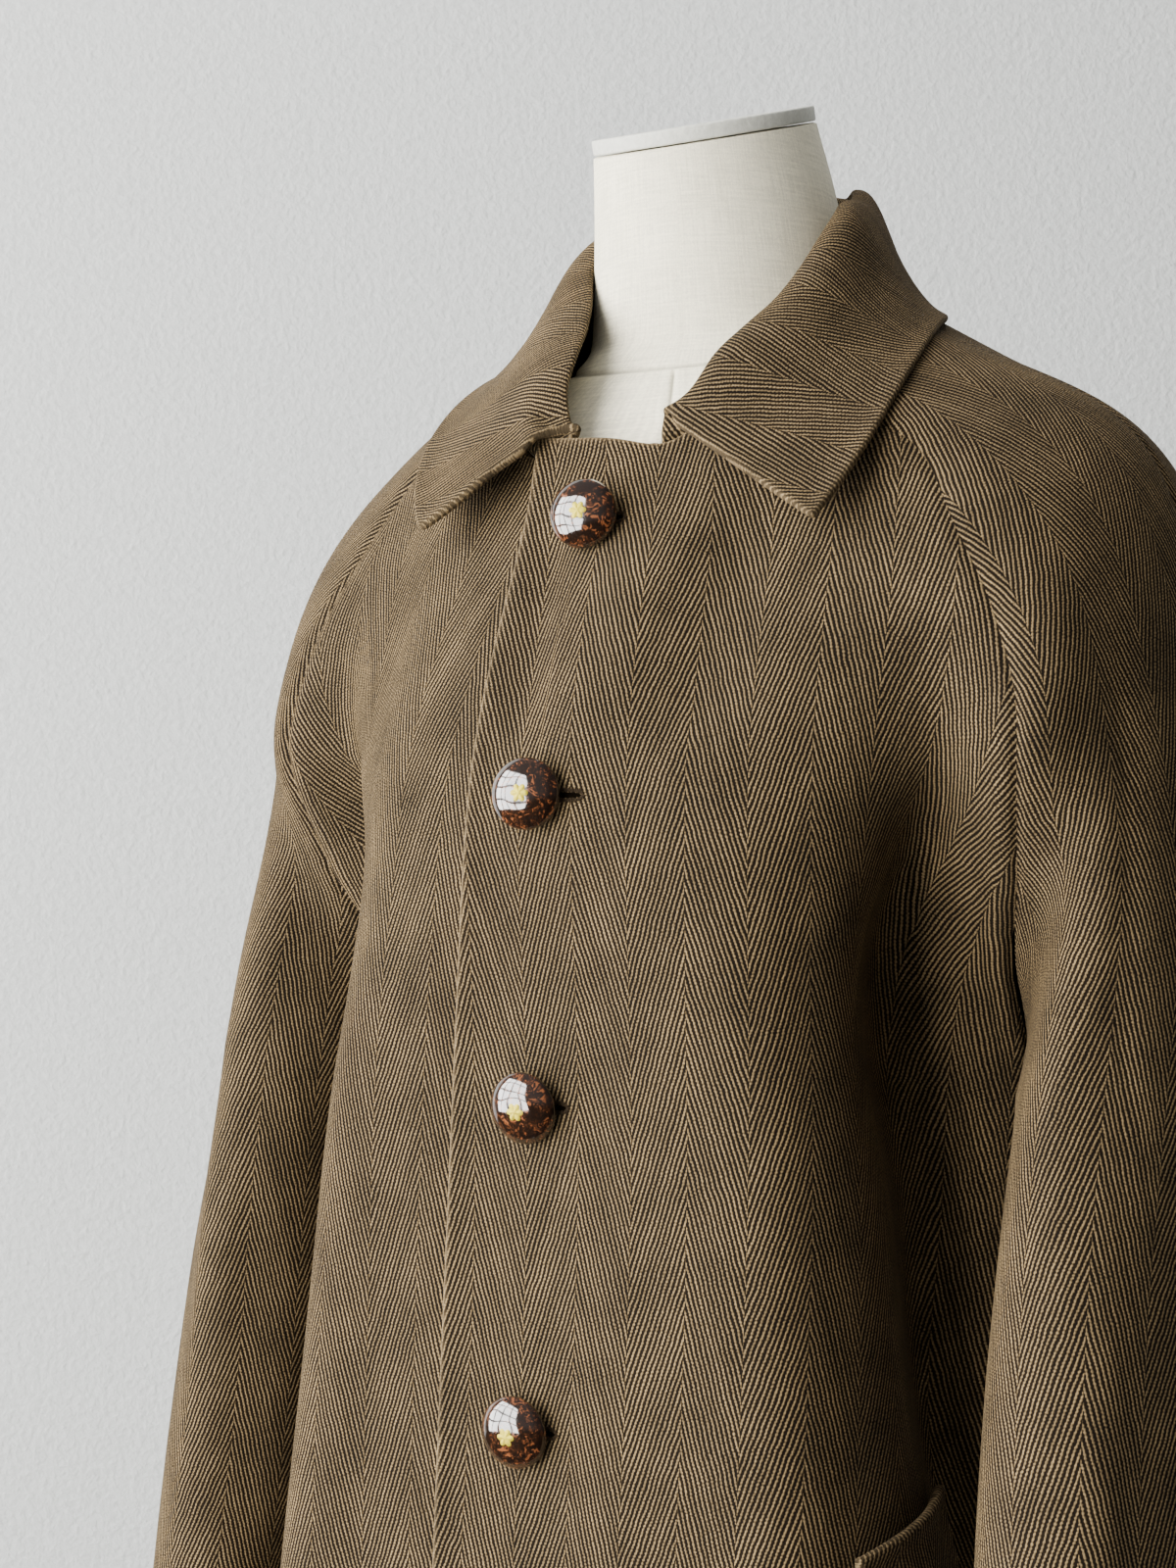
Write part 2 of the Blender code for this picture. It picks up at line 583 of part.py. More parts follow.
def fold_depth(points, normals):
    """Height of the folds at points of the coat."""
    toward_back = FOLD_FACING * normals[..., 1]
    facing = {"front": np.clip(-toward_back, 0.0, 1.0), "back": np.clip(toward_back, 0.0, 1.0)}
    total = np.zeros(points.shape[:-1])
    sides = np.where(points[..., 0] < 0.0, RIGHT_SIDE, LEFT_SIDE)
    for fold in FOLDS:
        mine = np.ones(total.shape) if fold.side == BOTH_SIDES else (sides == fold.side).astype(float)
        across = points[..., 0] * sides
        down = (fold.top_height - points[..., 2]) / (fold.top_height - fold.low_height)
        line = fold.top_across + (fold.low_across - fold.top_across) * down
        bell = np.exp(-((across - line) / fold.half_width) ** 2)
        ends = ease(0.0, FOLD_FADE, down) * (1.0 - ease(1.0 - FOLD_FADE, 1.0, down))
        total += fold.depth * bell * ends * mine * facing[fold.face]
    return total


def hollow_depth(points):
    """Depth of the hollows behind the front's corners at points of the coat."""
    total = np.zeros(points.shape[:-1])
    for hollow in HOLLOWS:
        down = (hollow.top_height - points[..., 2]) / (hollow.top_height - hollow.low_height)
        x = hollow.top_x + (hollow.low_x - hollow.top_x) * down
        y = hollow.top_y + (hollow.low_y - hollow.top_y) * down
        away = np.hypot(np.abs(points[..., 0]) - x, points[..., 1] - y) / hollow.reach
        ends = ease(0.0, FOLD_FADE, down) * (1.0 - ease(1.0 - FOLD_FADE, 1.0, down))
        total += hollow.depth * np.exp(-away ** 2) * ends
    return total


def drape(panels):
    """Move each panel's points out and in by its folds and by the lap of the left front."""
    share_normals(panels)
    for panel in panels:
        depth = fold_depth(panel.grid, panel.normals) * panel.flat
        if panel.hollow is not None:
            depth = depth + hollow_depth(panel.grid) * panel.hollow
        if panel.lift is not None:
            depth = depth + panel.lift
        panel.grid = panel.grid + panel.normals * depth[..., None]
    share_normals(panels)


def open_seams(panel):
    """Draw the sewn edges back by half the seam gap, along the cloth and into it."""
    grid = panel.grid.copy()
    inward = {"bottom": (0, 1, 0), "top": (-1, -2, 0), "first": (0, 1, 1), "last": (-1, -2, 1)}
    for edge in panel.sewn:
        outer, inner, axis = inward[edge]
        here = np.take(panel.grid, outer, axis=axis)
        step = np.take(panel.grid, inner, axis=axis) - here
        step = step / np.linalg.norm(step, axis=1, keepdims=True)
        folded = 1.0 - np.take(panel.flat, outer, axis=axis)
        sunk = np.take(panel.normals, outer, axis=axis) * folded[:, None]
        moved = (step - sunk) * SEAM_GAP / 2.0
        if axis == 0:
            grid[outer] += moved
        else:
            grid[:, outer] += moved
    return grid


def wall_mesh(name, outer, inner, flip):
    """Closed wall between two grids of points."""
    rows, columns = outer.shape[:2]
    mesh = bpy.data.meshes.new(name)
    bm = bmesh.new()
    top = [[bm.verts.new(outer[i, j]) for j in range(columns)] for i in range(rows)]
    low = [[bm.verts.new(inner[i, j]) for j in range(columns)] for i in range(rows)]
    faces = []
    for i in range(rows - 1):
        for j in range(columns - 1):
            faces.append((top[i][j + 1], top[i + 1][j + 1], top[i + 1][j], top[i][j]))
            faces.append((low[i][j + 1], low[i][j], low[i + 1][j], low[i + 1][j + 1]))
    for j in range(columns - 1):
        faces.append((low[0][j], low[0][j + 1], top[0][j + 1], top[0][j]))
        faces.append((top[-1][j], top[-1][j + 1], low[-1][j + 1], low[-1][j]))
    # Two panels split their facing edges along the same diagonal, from the upper outer point down
    for i in range(rows - 1):
        first = (top[i][0], top[i + 1][0], low[i + 1][0], low[i][0])
        last = (low[i][-1], low[i + 1][-1], top[i + 1][-1], top[i][-1])
        if outer[i + 1, 0, 2] > outer[i, 0, 2]:
            first = first[1:] + first[:1]
        if outer[i + 1, -1, 2] < outer[i, -1, 2]:
            last = last[1:] + last[:1]
        faces.append(first)
        faces.append(last)
    for face in faces:
        bm.faces.new((face[0], face[3], face[2], face[1]) if flip else face)
    bmesh.ops.triangulate(bm, faces=bm.faces[:], quad_method="FIXED")
    bm.to_mesh(mesh)
    bm.free()
    mesh.shade_smooth()
    mesh.set_sharp_from_angle(angle=SMOOTH_ANGLE)
    return mesh


def material(name, color, roughness, metallic=0.0):
    made = bpy.data.materials.new(name)
    made.use_nodes = True
    shader = made.node_tree.nodes["Principled BSDF"]
    shader.inputs["Base Color"].default_value = (*color, 1.0)
    shader.inputs["Roughness"].default_value = roughness
    shader.inputs["Metallic"].default_value = metallic
    return made


def place(name, mesh, surface, parts, root):
    piece = bpy.data.objects.new(name, mesh)
    parts.objects.link(piece)
    piece.parent = root
    piece.data.materials.append(surface)
    return piece


def panel_tree(panels):
    """Nearest-point tree of the outer faces of some panels."""
    points = []
    faces = []
    for panel in panels:
        rows, columns = panel.grid.shape[:2]
        start = len(points)
        points.extend(Vector(point) for point in panel.grid.reshape(-1, 3))
        for i in range(rows - 1):
            for j in range(columns - 1):
                a = start + i * columns + j
                b = a + columns
                quad = (a + 1, b + 1, b, a) if panel.outward > 0 else (a + 1, a, b, b + 1)
                faces.append(quad[:3])
                faces.append((quad[0], quad[2], quad[3]))
    return BVHTree.FromPolygons(points, faces)


def keep_out(tree, point, clearance):
    """The point itself, or the point moved out until it clears the cloth below it."""
    spot, normal, _, _ = tree.find_nearest(Vector(point))
    height = (Vector(point) - spot).dot(normal)
    if height < clearance:
        return np.array(spot + normal * clearance)
    return np.array(point)


def neckline(panels):
    """Top edge of the left half of the coat, from the middle back to the left front edge."""
    named = {panel.name: panel for panel in panels}
    back = named["back"].grid[-1]
    back = back[len(back) // 2:]
    sleeve_back = named["sleeve_left_back"].grid[0][::-1]
    sleeve_front = named["sleeve_left_front"].grid[0]
    front = named["front_left"].grid[-1][::-1]
    return np.concatenate((back, sleeve_back[1:], sleeve_front[1:], front[1:]))


def collar_length(line, end_x):
    """Length of the neckline from the middle back to where the collar ends, at a distance from the middle."""
    run = lengths(line)
    last = max(k for k in range(1, len(line)) if line[k - 1, 0] >= end_x)
    share = (line[last - 1, 0] - end_x) / (line[last - 1, 0] - line[last, 0])
    return run[last - 1] + share * (run[last] - run[last - 1])


def collar_half(line, end, tree, side):
    """Middle points of half of the folded collar: from the back to the front end, and over the roll."""
    half = []
    for share in np.linspace(0.0, 1.0, COLLAR_COLUMNS // 2 + 1):
        behind, here, ahead = at_lengths(line, share * end + np.array([-HEADING_STEP, 0.0, HEADING_STEP]))
        if share * end < HEADING_STEP:
            behind = np.array([-ahead[0], ahead[1], ahead[2]])
        heading = ahead - behind
        outward = np.array([-heading[1], heading[0], 0.0])
        outward = outward / np.linalg.norm(outward)
        row = {name: float(smooth(COLLAR, name, share)) for name in COLLAR[0]._fields[1:]}
        foot = here + np.array([0.0, 0.0, NECK_SEAM_RISE]) - outward * CLOTH / 2.0
        on_right = 1.0 if side == RIGHT_SIDE else 0.0
        roll = foot + np.array([-row["right_roll_in"] * on_right, 0.0, row["stand"]]) + outward * row["lean"]
        edge_x = row["edge_x"] - row["right_in"] * on_right
        outside = np.array([float(side), 1.0, 1.0])
        edge = keep_out(tree, outside * (edge_x, row["edge_y"], row["edge_z"]), row["lift"]) * outside
        fall = edge - roll
        flat_fall = np.array([fall[0], fall[1], 0.0]) / np.linalg.norm(fall[:2])
        bend = float(ease(LEAF_START, 1.0, share))
        over = outward * (1.0 - bend) + flat_fall * bend
        up = np.array([0.0, 0.0, STAND_UPRIGHT * row["stand"]])
        stand = bezier((foot, foot + up, roll - over * row["roll"] / 2.0, roll), STAND_STEPS)
        flare = FALL_FLARE + (LEAF_BEND - FALL_FLARE) * bend
        sink = FALL_DROP + (LEAF_BEND - FALL_DROP) * bend
        hang = edge - fall * np.array([flare, flare, sink])
        full = row["roll"] + RIGHT_FULLER * on_right * float(ease(FULLER_START, FULLER_WHOLE, share))
        drop = bezier((roll, roll + over * full, hang, edge), FALL_STEPS)
        for k in range(2, len(drop)):
            drop[k] = keep_out(tree, drop[k] * outside, COLLAR_CLOTH / 2.0 + COLLAR_CLEARANCE) * outside
        half.append(np.concatenate((stand, drop)))
    return np.array(half)


def collar_grid(panels):
    """Middle points of the whole collar, from the right front end round the back to the left one."""
    tree = panel_tree(panels)
    line = neckline(panels)
    left = collar_half(line, collar_length(line, LEFT_COLLAR_END), tree, LEFT_SIDE)
    right = collar_half(line, collar_length(line, RIGHT_COLLAR_END), tree, RIGHT_SIDE) * MIRROR
    middle = (left[:1] + right[:1]) / 2.0
    return np.concatenate((right[:0:-1], middle, left[1:]))


def make_collar(panels, surface, parts, root):
    grid = collar_grid(panels)
    normals = grid_normals(grid, 1.0)
    inner = grid + normals * COLLAR_CLOTH / 2.0
    outer = grid - normals * COLLAR_CLOTH / 2.0
    place("collar", wall_mesh("collar", outer, inner, True), surface, parts, root)


def make_welt(name, panel, side, surface, parts, root):
    """Slanted welt laid on a front panel, from the panel's own points moved out."""
    tree = panel_tree([panel])
    skirt = UNDERARM_HEIGHT - HEM_HEIGHT
    curve = body_curve((WELT_CORNER_HEIGHT - HEM_HEIGHT) / skirt, "front")
    corner_y = WELT_CORNER_LEFT if side == LEFT_SIDE else WELT_CORNER_RIGHT
    corner = float(np.interp(corner_y, curve[:, 1], lengths(curve)))
    lean = math.radians(WELT_LEAN)
    rise = math.radians(WELT_RISE)
    outer = np.zeros((WELT_ROWS + 1, WELT_COLUMNS + 1, 3))
    inner = np.zeros_like(outer)
    for i, down in enumerate(np.linspace(0.0, WELT_LENGTH, WELT_ROWS + 1)):
        for j, over in enumerate(np.linspace(0.0, WELT_WIDTH, WELT_COLUMNS + 1)):
            length = corner + down * math.sin(lean) - over * math.cos(rise)
            height = WELT_CORNER_HEIGHT - down * math.cos(lean) - over * math.sin(rise)
            spot = body_row((height - HEM_HEIGHT) / skirt, "front", np.array([length]))[0]
            spot[0] *= side
            near, normal, _, _ = tree.find_nearest(Vector(spot))
            inner[i, j] = near + normal * WELT_CLEARANCE
            outer[i, j] = near + normal * (WELT_CLEARANCE + WELT_CLOTH)
    place(name, wall_mesh(name, outer, inner, side == RIGHT_SIDE), surface, parts, root)


def make_button(name, row, panel, surface, parts, root):
    """Turned button: dome, edge, flat back and shank, laid against the left front."""
    rim = BUTTON_SHANK + BUTTON_EDGE
    profile = [(spot.radius * BUTTON_RADIUS, rim + spot.dome * BUTTON_DOME) for spot in BUTTON_PROFILE]
    profile += [
        (BUTTON_RADIUS, BUTTON_SHANK + BUTTON_WIDEST * BUTTON_EDGE),
        (BUTTON_BACK * BUTTON_RADIUS, BUTTON_SHANK),
        (BUTTON_SHANK_RADIUS, BUTTON_SHANK),
        (BUTTON_SHANK_RADIUS, 0.0),
        (0.0, 0.0),
    ]
    mesh = bpy.data.meshes.new(name)
    edges = [(k, k + 1) for k in range(len(profile) - 1)]
    mesh.from_pydata([(radius, 0.0, height) for radius, height in profile], edges, [])
    piece = place(name, mesh, surface, parts, root)
    screw = piece.modifiers.new("turned", "SCREW")
    screw.steps = BUTTON_STEPS
    screw.render_steps = BUTTON_STEPS
    screw.use_merge_vertices = True
    screw.merge_threshold = MERGE
    start = Vector((row.across, -1.0, row.height))
    spot, normal, _, _ = panel_tree([panel]).ray_cast(start, Vector((0.0, 1.0, 0.0)))
    facing = Matrix.Rotation(math.radians(row.turn), 3, "Z") @ normal
    facing = Matrix.Rotation(math.radians(row.nod), 3, "X") @ facing
    piece.rotation_euler = facing.to_track_quat("Z", "Y").to_euler()
    dip = BUTTON_RADIUS * math.sin(facing.angle(normal)) - BUTTON_SHANK
    piece.location = spot + normal * (BUTTON_CLEARANCE + max(dip, 0.0))


def form_ring(height):
    """Closed ring of the dress form at a height, round to square by its table."""
    row = {name: float(smooth(FORM, name, height)) for name in FORM[0]._fields[1:]}
    turns = np.linspace(0.0, 2.0 * math.pi, FORM_SEGMENTS, endpoint=False)
    power = 2.0 / row["square"]
    x = row["half_width"] * np.sign(np.cos(turns)) * np.abs(np.cos(turns)) ** power
    middle = (row["front"] + row["back"]) / 2.0
    depth = (row["back"] - row["front"]) / 2.0
    y = middle + depth * np.sign(np.sin(turns)) * np.abs(np.sin(turns)) ** power
    slope = math.tan(math.radians(NECK_TILT)) * row["tilt"]
    z = height + slope * (y - middle)
    return np.stack((x, y, z), axis=1)


def make_form(surface, parts, root):
    mesh = bpy.data.meshes.new("form_torso")
    bm = bmesh.new()
    marks = np.linspace(0.0, len(FORM) - 1.0, FORM_ROWS + 1)
    rows = np.interp(marks, range(len(FORM)), [row.height for row in FORM])
    rings = [[bm.verts.new(point) for point in form_ring(height)] for height in rows]
    for low, high in zip(rings, rings[1:]):
        for k in range(FORM_SEGMENTS):
            after = (k + 1) % FORM_SEGMENTS
            bm.faces.new((low[k], low[after], high[after], high[k]))
    bm.faces.new(rings[0][::-1])
    bm.faces.new(rings[-1])
    bm.to_mesh(mesh)
    bm.free()
    mesh.shade_smooth()
    mesh.set_sharp_from_angle(angle=SMOOTH_ANGLE)
    place("form_torso", mesh, surface, parts, root)


def make_cap(surface, parts, root):
    bpy.ops.mesh.primitive_cylinder_add(vertices=CAP_VERTICES, radius=1.0, depth=CAP_THICKNESS)
    cap = bpy.context.object
    cap.name = "form_neck_cap"
    cap.scale = (CAP_RADIUS_X, CAP_RADIUS_Y, 1.0)
    bpy.ops.object.transform_apply(location=False, rotation=False, scale=True)
    bevel = cap.modifiers.new("rounded rim", "BEVEL")
    bevel.width = CAP_BEVEL
    bevel.segments = 2
    top = FORM[-1]
    tilt = math.radians(NECK_TILT)
    middle = np.array([0.0, (top.front + top.back) / 2.0, top.height])
    axis = np.array([0.0, -math.sin(tilt), math.cos(tilt)])
    cap.rotation_euler = (tilt, 0.0, 0.0)
    cap.location = middle + axis * (CAP_GAP + CAP_THICKNESS / 2.0)
    cap.data.materials.append(surface)
    cap.data.shade_smooth()
    cap.data.set_sharp_from_angle(angle=SMOOTH_ANGLE)
    for owner in cap.users_collection:
        owner.objects.unlink(cap)
    parts.objects.link(cap)
    cap.parent = root


def make_stand(pole_surface, base_surface, parts, root):
    pole_foot = BASE_HUB_HEIGHT + SEAM_GAP
    pole_top = FORM[0].height - SEAM_GAP
    pole_length = pole_top - pole_foot
    bpy.ops.mesh.primitive_cylinder_add(vertices=POLE_VERTICES, radius=POLE_RADIUS, depth=pole_length)
    pole = bpy.context.object
    pole.name = "stand_pole"
    pole.location = (0.0, 0.0, (pole_top + pole_foot) / 2.0)
    pole.data.materials.append(pole_surface)
    pole.data.shade_smooth()
    pole.data.set_sharp_from_angle(angle=SMOOTH_ANGLE)
    for owner in pole.users_collection:
        owner.objects.unlink(pole)
    parts.objects.link(pole)
    pole.parent = root
    profile = (
        (0.0, BASE_HUB_HEIGHT),
        (BASE_HUB_RADIUS - BASE_BEVEL, BASE_HUB_HEIGHT),
        (BASE_HUB_RADIUS, BASE_HUB_HEIGHT - BASE_BEVEL),
        (BASE_HUB_RADIUS, BASE_THICKNESS),
        (BASE_RADIUS - BASE_BEVEL, BASE_THICKNESS),
        (BASE_RADIUS, BASE_THICKNESS - BASE_BEVEL),
        (BASE_RADIUS, 0.0),
        (0.0, 0.0),
    )
    mesh = bpy.data.meshes.new("stand_base")
    edges = [(k, k + 1) for k in range(len(profile) - 1)]
    mesh.from_pydata([(radius, 0.0, height) for radius, height in profile], edges, [])
    base = place("stand_base", mesh, base_surface, parts, root)
    screw = base.modifiers.new("turned", "SCREW")
    screw.steps = BASE_STEPS
    screw.render_steps = BASE_STEPS
    screw.use_merge_vertices = True
    screw.merge_threshold = MERGE


def make_panels():
    """All cut panels of the coat, draped, with the left front lapped over the right one."""
    fronts, spots = front_grid()
    fronts = eased(fronts, False, True)
    backs = eased(back_grid(), True, True)
    flat_by = np.minimum(LAP_SETTLED, spots[:, -1:])
    lap = (CLOTH + LAP_GAP) * (1.0 - ease(LAP_FULL, flat_by, spots))
    from_side = (spots[:, -1:] - spots) / (spots[:, -1:] - spots[:, :1])
    hollow = ease(0.0, HOLLOW_START, from_side)
    panels = [
        Panel("front_left", fronts, 1.0, ("last",), lap, hollow),
        Panel("front_right", settled(fronts * MIRROR), -1.0, ("last",), None, hollow),
        Panel("back", settled(backs), -1.0, ("first", "last")),
    ]
    for side, word in ((LEFT_SIDE, "left"), (RIGHT_SIDE, "right")):
        for face, outward in (("front", 1.0), ("back", -1.0)):
            grid = eased(sleeve_grid(face, side), False, True) * np.array([float(side), 1.0, 1.0])
            name = "sleeve_" + word + "_" + face
            panels.append(Panel(name, settled(grid), outward * side, ("first", "last")))
    drape(panels)
    for panel in panels:
        panel.thin()
    return panels


def main():
    for old in list(bpy.data.objects):
        bpy.data.objects.remove(old)
    parts = bpy.data.collections.new("raglan_coat")
    bpy.context.scene.collection.children.link(parts)
    root = bpy.data.objects.new("coat_root", None)
    parts.objects.link(root)

    panels = make_panels()
    for panel in panels:
        outer = open_seams(panel)
        inner = outer - panel.normals * CLOTH
        mesh = wall_mesh(panel.name, outer, inner, panel.outward < 0)
        place(panel.name, mesh, material(panel.name + "_cloth", TWEED, 0.9), parts, root)
    named = {panel.name: panel for panel in panels}
    make_collar(panels, material("collar_cloth", TWEED, 0.9), parts, root)
    left_welt = material("pocket_welt_left_cloth", TWEED, 0.9)
    right_welt = material("pocket_welt_right_cloth", TWEED, 0.9)
    make_welt("pocket_welt_left", named["front_left"], LEFT_SIDE, left_welt, parts, root)
    make_welt("pocket_welt_right", named["front_right"], RIGHT_SIDE, right_welt, parts, root)
    for k, row in enumerate(BUTTONS):
        name = "button_" + str(k + 1)
        make_button(name, row, named["front_left"], material(name + "_horn", HORN, 0.15), parts, root)
    make_form(material("form_linen", LINEN, 0.85), parts, root)
    make_cap(material("cap_paint", CAP_PAINT, 0.45), parts, root)
    pole_surface = material("pole_metal", STEEL, 0.35, 1.0)
    base_surface = material("base_metal", STEEL, 0.45, 1.0)
    make_stand(pole_surface, base_surface, parts, root)


main()
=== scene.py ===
# %% [markdown]
# # A single-breasted raglan coat on a dress form
#
# The coat is cut from brown herringbone wool: two fronts, a back, four sleeve pieces, a collar and two
# pocket welts, closed by five domed horn buttons. It hangs on a linen dress form with a painted neck cap.
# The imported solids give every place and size. This lesson lays finer cloth over them, piece by piece.

import math
from collections import namedtuple

import bpy
import numpy as np
from mathutils import Matrix, Vector
from mathutils.bvhtree import BVHTree


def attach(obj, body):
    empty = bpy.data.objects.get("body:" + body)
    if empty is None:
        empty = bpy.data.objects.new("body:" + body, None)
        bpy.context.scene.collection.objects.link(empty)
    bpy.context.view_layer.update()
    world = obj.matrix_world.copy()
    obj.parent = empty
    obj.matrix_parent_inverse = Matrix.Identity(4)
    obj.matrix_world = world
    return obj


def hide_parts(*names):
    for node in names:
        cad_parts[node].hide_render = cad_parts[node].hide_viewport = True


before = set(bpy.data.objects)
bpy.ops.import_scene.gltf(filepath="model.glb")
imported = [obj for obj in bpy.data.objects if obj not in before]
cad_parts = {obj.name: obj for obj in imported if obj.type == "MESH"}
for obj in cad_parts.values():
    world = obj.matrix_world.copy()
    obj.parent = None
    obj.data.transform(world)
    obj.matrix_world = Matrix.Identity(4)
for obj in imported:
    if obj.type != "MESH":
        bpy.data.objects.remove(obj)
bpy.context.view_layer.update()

# %% [markdown]
# ## Camera
#
# The picture is taken level with the chest, from the wearer's left, with a lens a little longer than normal.
# A level camera keeps the upright lines upright, so no shift is needed.

# %% Camera
CAMERA_TURN = math.radians(33.0)
CAMERA_BACK = 1.18
CAMERA_ASIDE = -0.0511
CAMERA_HEIGHT = 1.215
CAMERA_LENS = 60.0
to_right = Vector((math.cos(CAMERA_TURN), math.sin(CAMERA_TURN), 0.0))
looking = Vector((-math.sin(CAMERA_TURN), math.cos(CAMERA_TURN), 0.0))
lens = bpy.data.cameras.new("camera")
lens.lens = CAMERA_LENS
lens.sensor_width = 36.0
camera = bpy.data.objects.new("camera", lens)
camera.location = to_right * CAMERA_ASIDE - looking * CAMERA_BACK + Vector((0.0, 0.0, CAMERA_HEIGHT))
camera.rotation_euler = looking.to_track_quat("-Z", "Y").to_euler()
bpy.context.scene.collection.objects.link(camera)
bpy.context.scene.camera = camera
print("camera at", [round(place, 3) for place in camera.location])

# %% [markdown]
# ## The cut, as tables
#
# Each row of a table is one measurement taken across the coat. A smooth curve runs through the rows, so a
# few numbers give a whole seam. The solids were made from the same tables with fewer points.

# %% Sizes and tables of the body
CLOTH = 0.0024
COLLAR_CLOTH = 0.0030
WELT_CLOTH = 0.0030
LAP_GAP = 0.0014
HEM_HEIGHT = 0.400
UNDERARM_HEIGHT = 1.090
CUFF_HEIGHT = 0.715
FRONT_NECK_HEIGHT = 1.357
BACK_NECK_HEIGHT = 1.447
LAP_FULL = 0.050
LAP_SETTLED = 0.120

Body = namedtuple("Body", "height half_width side front_turn front_middle front_seam back_full")
BODY = (
    Body(0.400, 0.226, 0.000, 80.0, 0.80, 0.92, 0.63),
    Body(0.650, 0.198, 0.000, 78.0, 0.81, 0.95, 0.65),
    Body(0.850, 0.176, -0.002, 76.0, 0.82, 0.98, 0.66),
    Body(0.950, 0.166, -0.003, 75.0, 0.83, 1.00, 0.66),
    Body(1.020, 0.160, -0.004, 74.0, 0.84, 1.00, 0.66),
    Body(1.090, 0.166, -0.005, 70.0, 0.80, 0.98, 0.66),
)
Middle = namedtuple("Middle", "height front back lap")
MIDDLE = (
    Middle(0.400, -0.184, 0.182, 0.041),
    Middle(0.650, -0.163, 0.162, 0.041),
    Middle(0.850, -0.147, 0.146, 0.041),
    Middle(0.975, -0.1385, 0.137, 0.041),
    Middle(1.090, -0.1325, 0.131, 0.039),
    Middle(1.200, -0.1345, 0.133, 0.033),
    Middle(1.270, -0.1150, 0.132, 0.032),
    Middle(1.329, -0.0890, 0.128, 0.032),
    Middle(1.360, -0.0810, 0.122, 0.032),
    Middle(1.420, -0.0700, 0.106, 0.032),
    Middle(1.447, -0.0650, 0.094, 0.032),
)
print("body tables:", len(BODY), "widths and", len(MIDDLE), "middle lines")

# %% Raglan seams, overarm line and sleeve rings
RAGLAN_COLUMNS = "share x y z rise body_turn sleeve_turn middle_full seam_full seam_reach top_reach"
Raglan = namedtuple("Raglan", RAGLAN_COLUMNS)
RAGLAN_FRONT = (
    Raglan(0.00, 0.055, -0.056, 1.385, 0.45, 58.0, 58.0, 1.10, 0.30, 0.020, 0.022),
    Raglan(0.20, 0.130, -0.056, 1.356, 0.42, 24.0, 24.0, 0.50, 0.42, 0.030, 0.038),
    Raglan(0.35, 0.157, -0.070, 1.319, 0.34, 17.0, 17.0, 0.46, 0.44, 0.032, 0.044),
    Raglan(0.50, 0.178, -0.078, 1.280, 0.26, 16.0, 13.0, 0.52, 0.42, 0.030, 0.044),
    Raglan(0.64, 0.188, -0.080, 1.238, 0.18, 20.0, 8.0, 0.56, 0.38, 0.031, 0.048),
    Raglan(0.80, 0.178, -0.056, 1.178, 0.10, 36.0, -8.0, 0.70, 0.44, 0.040, 0.056),
    Raglan(0.91, 0.164, -0.024, 1.131, 0.04, 56.0, -46.0, 0.84, 0.82, 0.064, 0.070),
    Raglan(1.00, 0.166, -0.005, 1.090, 0.00, 70.0, -90.0, 0.80, 0.98, 0.0827, 0.0827),
)
RAGLAN_BACK = (
    Raglan(0.00, 0.056, 0.074, 1.440, 0.20, 48.0, 48.0, 0.50, 0.42, 0.018, 0.024),
    Raglan(0.20, 0.106, 0.098, 1.396, 0.34, 30.0, 30.0, 0.46, 0.42, 0.030, 0.040),
    Raglan(0.35, 0.138, 0.110, 1.350, 0.32, 22.0, 22.0, 0.44, 0.44, 0.034, 0.050),
    Raglan(0.50, 0.160, 0.116, 1.300, 0.26, 20.0, 14.0, 0.46, 0.46, 0.036, 0.060),
    Raglan(0.64, 0.172, 0.114, 1.248, 0.18, 24.0, 6.0, 0.48, 0.48, 0.040, 0.070),
    Raglan(0.80, 0.176, 0.090, 1.180, 0.10, 42.0, -16.0, 0.54, 0.54, 0.054, 0.084),
    Raglan(0.91, 0.172, 0.048, 1.130, 0.04, 68.0, -54.0, 0.60, 0.60, 0.082, 0.098),
    Raglan(1.00, 0.166, -0.005, 1.090, 0.00, 90.0, -90.0, 0.66, 0.66, 0.104, 0.104),
)
Overarm = namedtuple("Overarm", "share x y z")
OVERARM = (
    Overarm(0.00, 0.071, 0.019, 1.429),
    Overarm(0.14, 0.112, 0.023, 1.410),
    Overarm(0.28, 0.152, 0.025, 1.392),
    Overarm(0.40, 0.186, 0.025, 1.377),
    Overarm(0.49, 0.207, 0.023, 1.359),
    Overarm(0.58, 0.221, 0.020, 1.330),
    Overarm(0.70, 0.230, 0.015, 1.276),
    Overarm(0.85, 0.241, 0.009, 1.184),
    Overarm(1.00, 0.253, 0.004, 1.090),
)
Ring = namedtuple("Ring", "height inner outer middle front_depth back_depth")
RINGS = (
    Ring(0.715, 0.233, 0.300, -0.012, 0.058, 0.058),
    Ring(0.800, 0.221, 0.292, -0.008, 0.061, 0.062),
    Ring(0.900, 0.205, 0.280, -0.004, 0.064, 0.067),
    Ring(0.980, 0.193, 0.270, 0.000, 0.065, 0.072),
    Ring(1.040, 0.182, 0.261, 0.000, 0.065, 0.076),
    Ring(1.090, 0.166, 0.253, -0.005, 0.0620, 0.078),
)
print("sleeve tables:", len(RAGLAN_FRONT), "seam points and", len(RINGS), "rings")

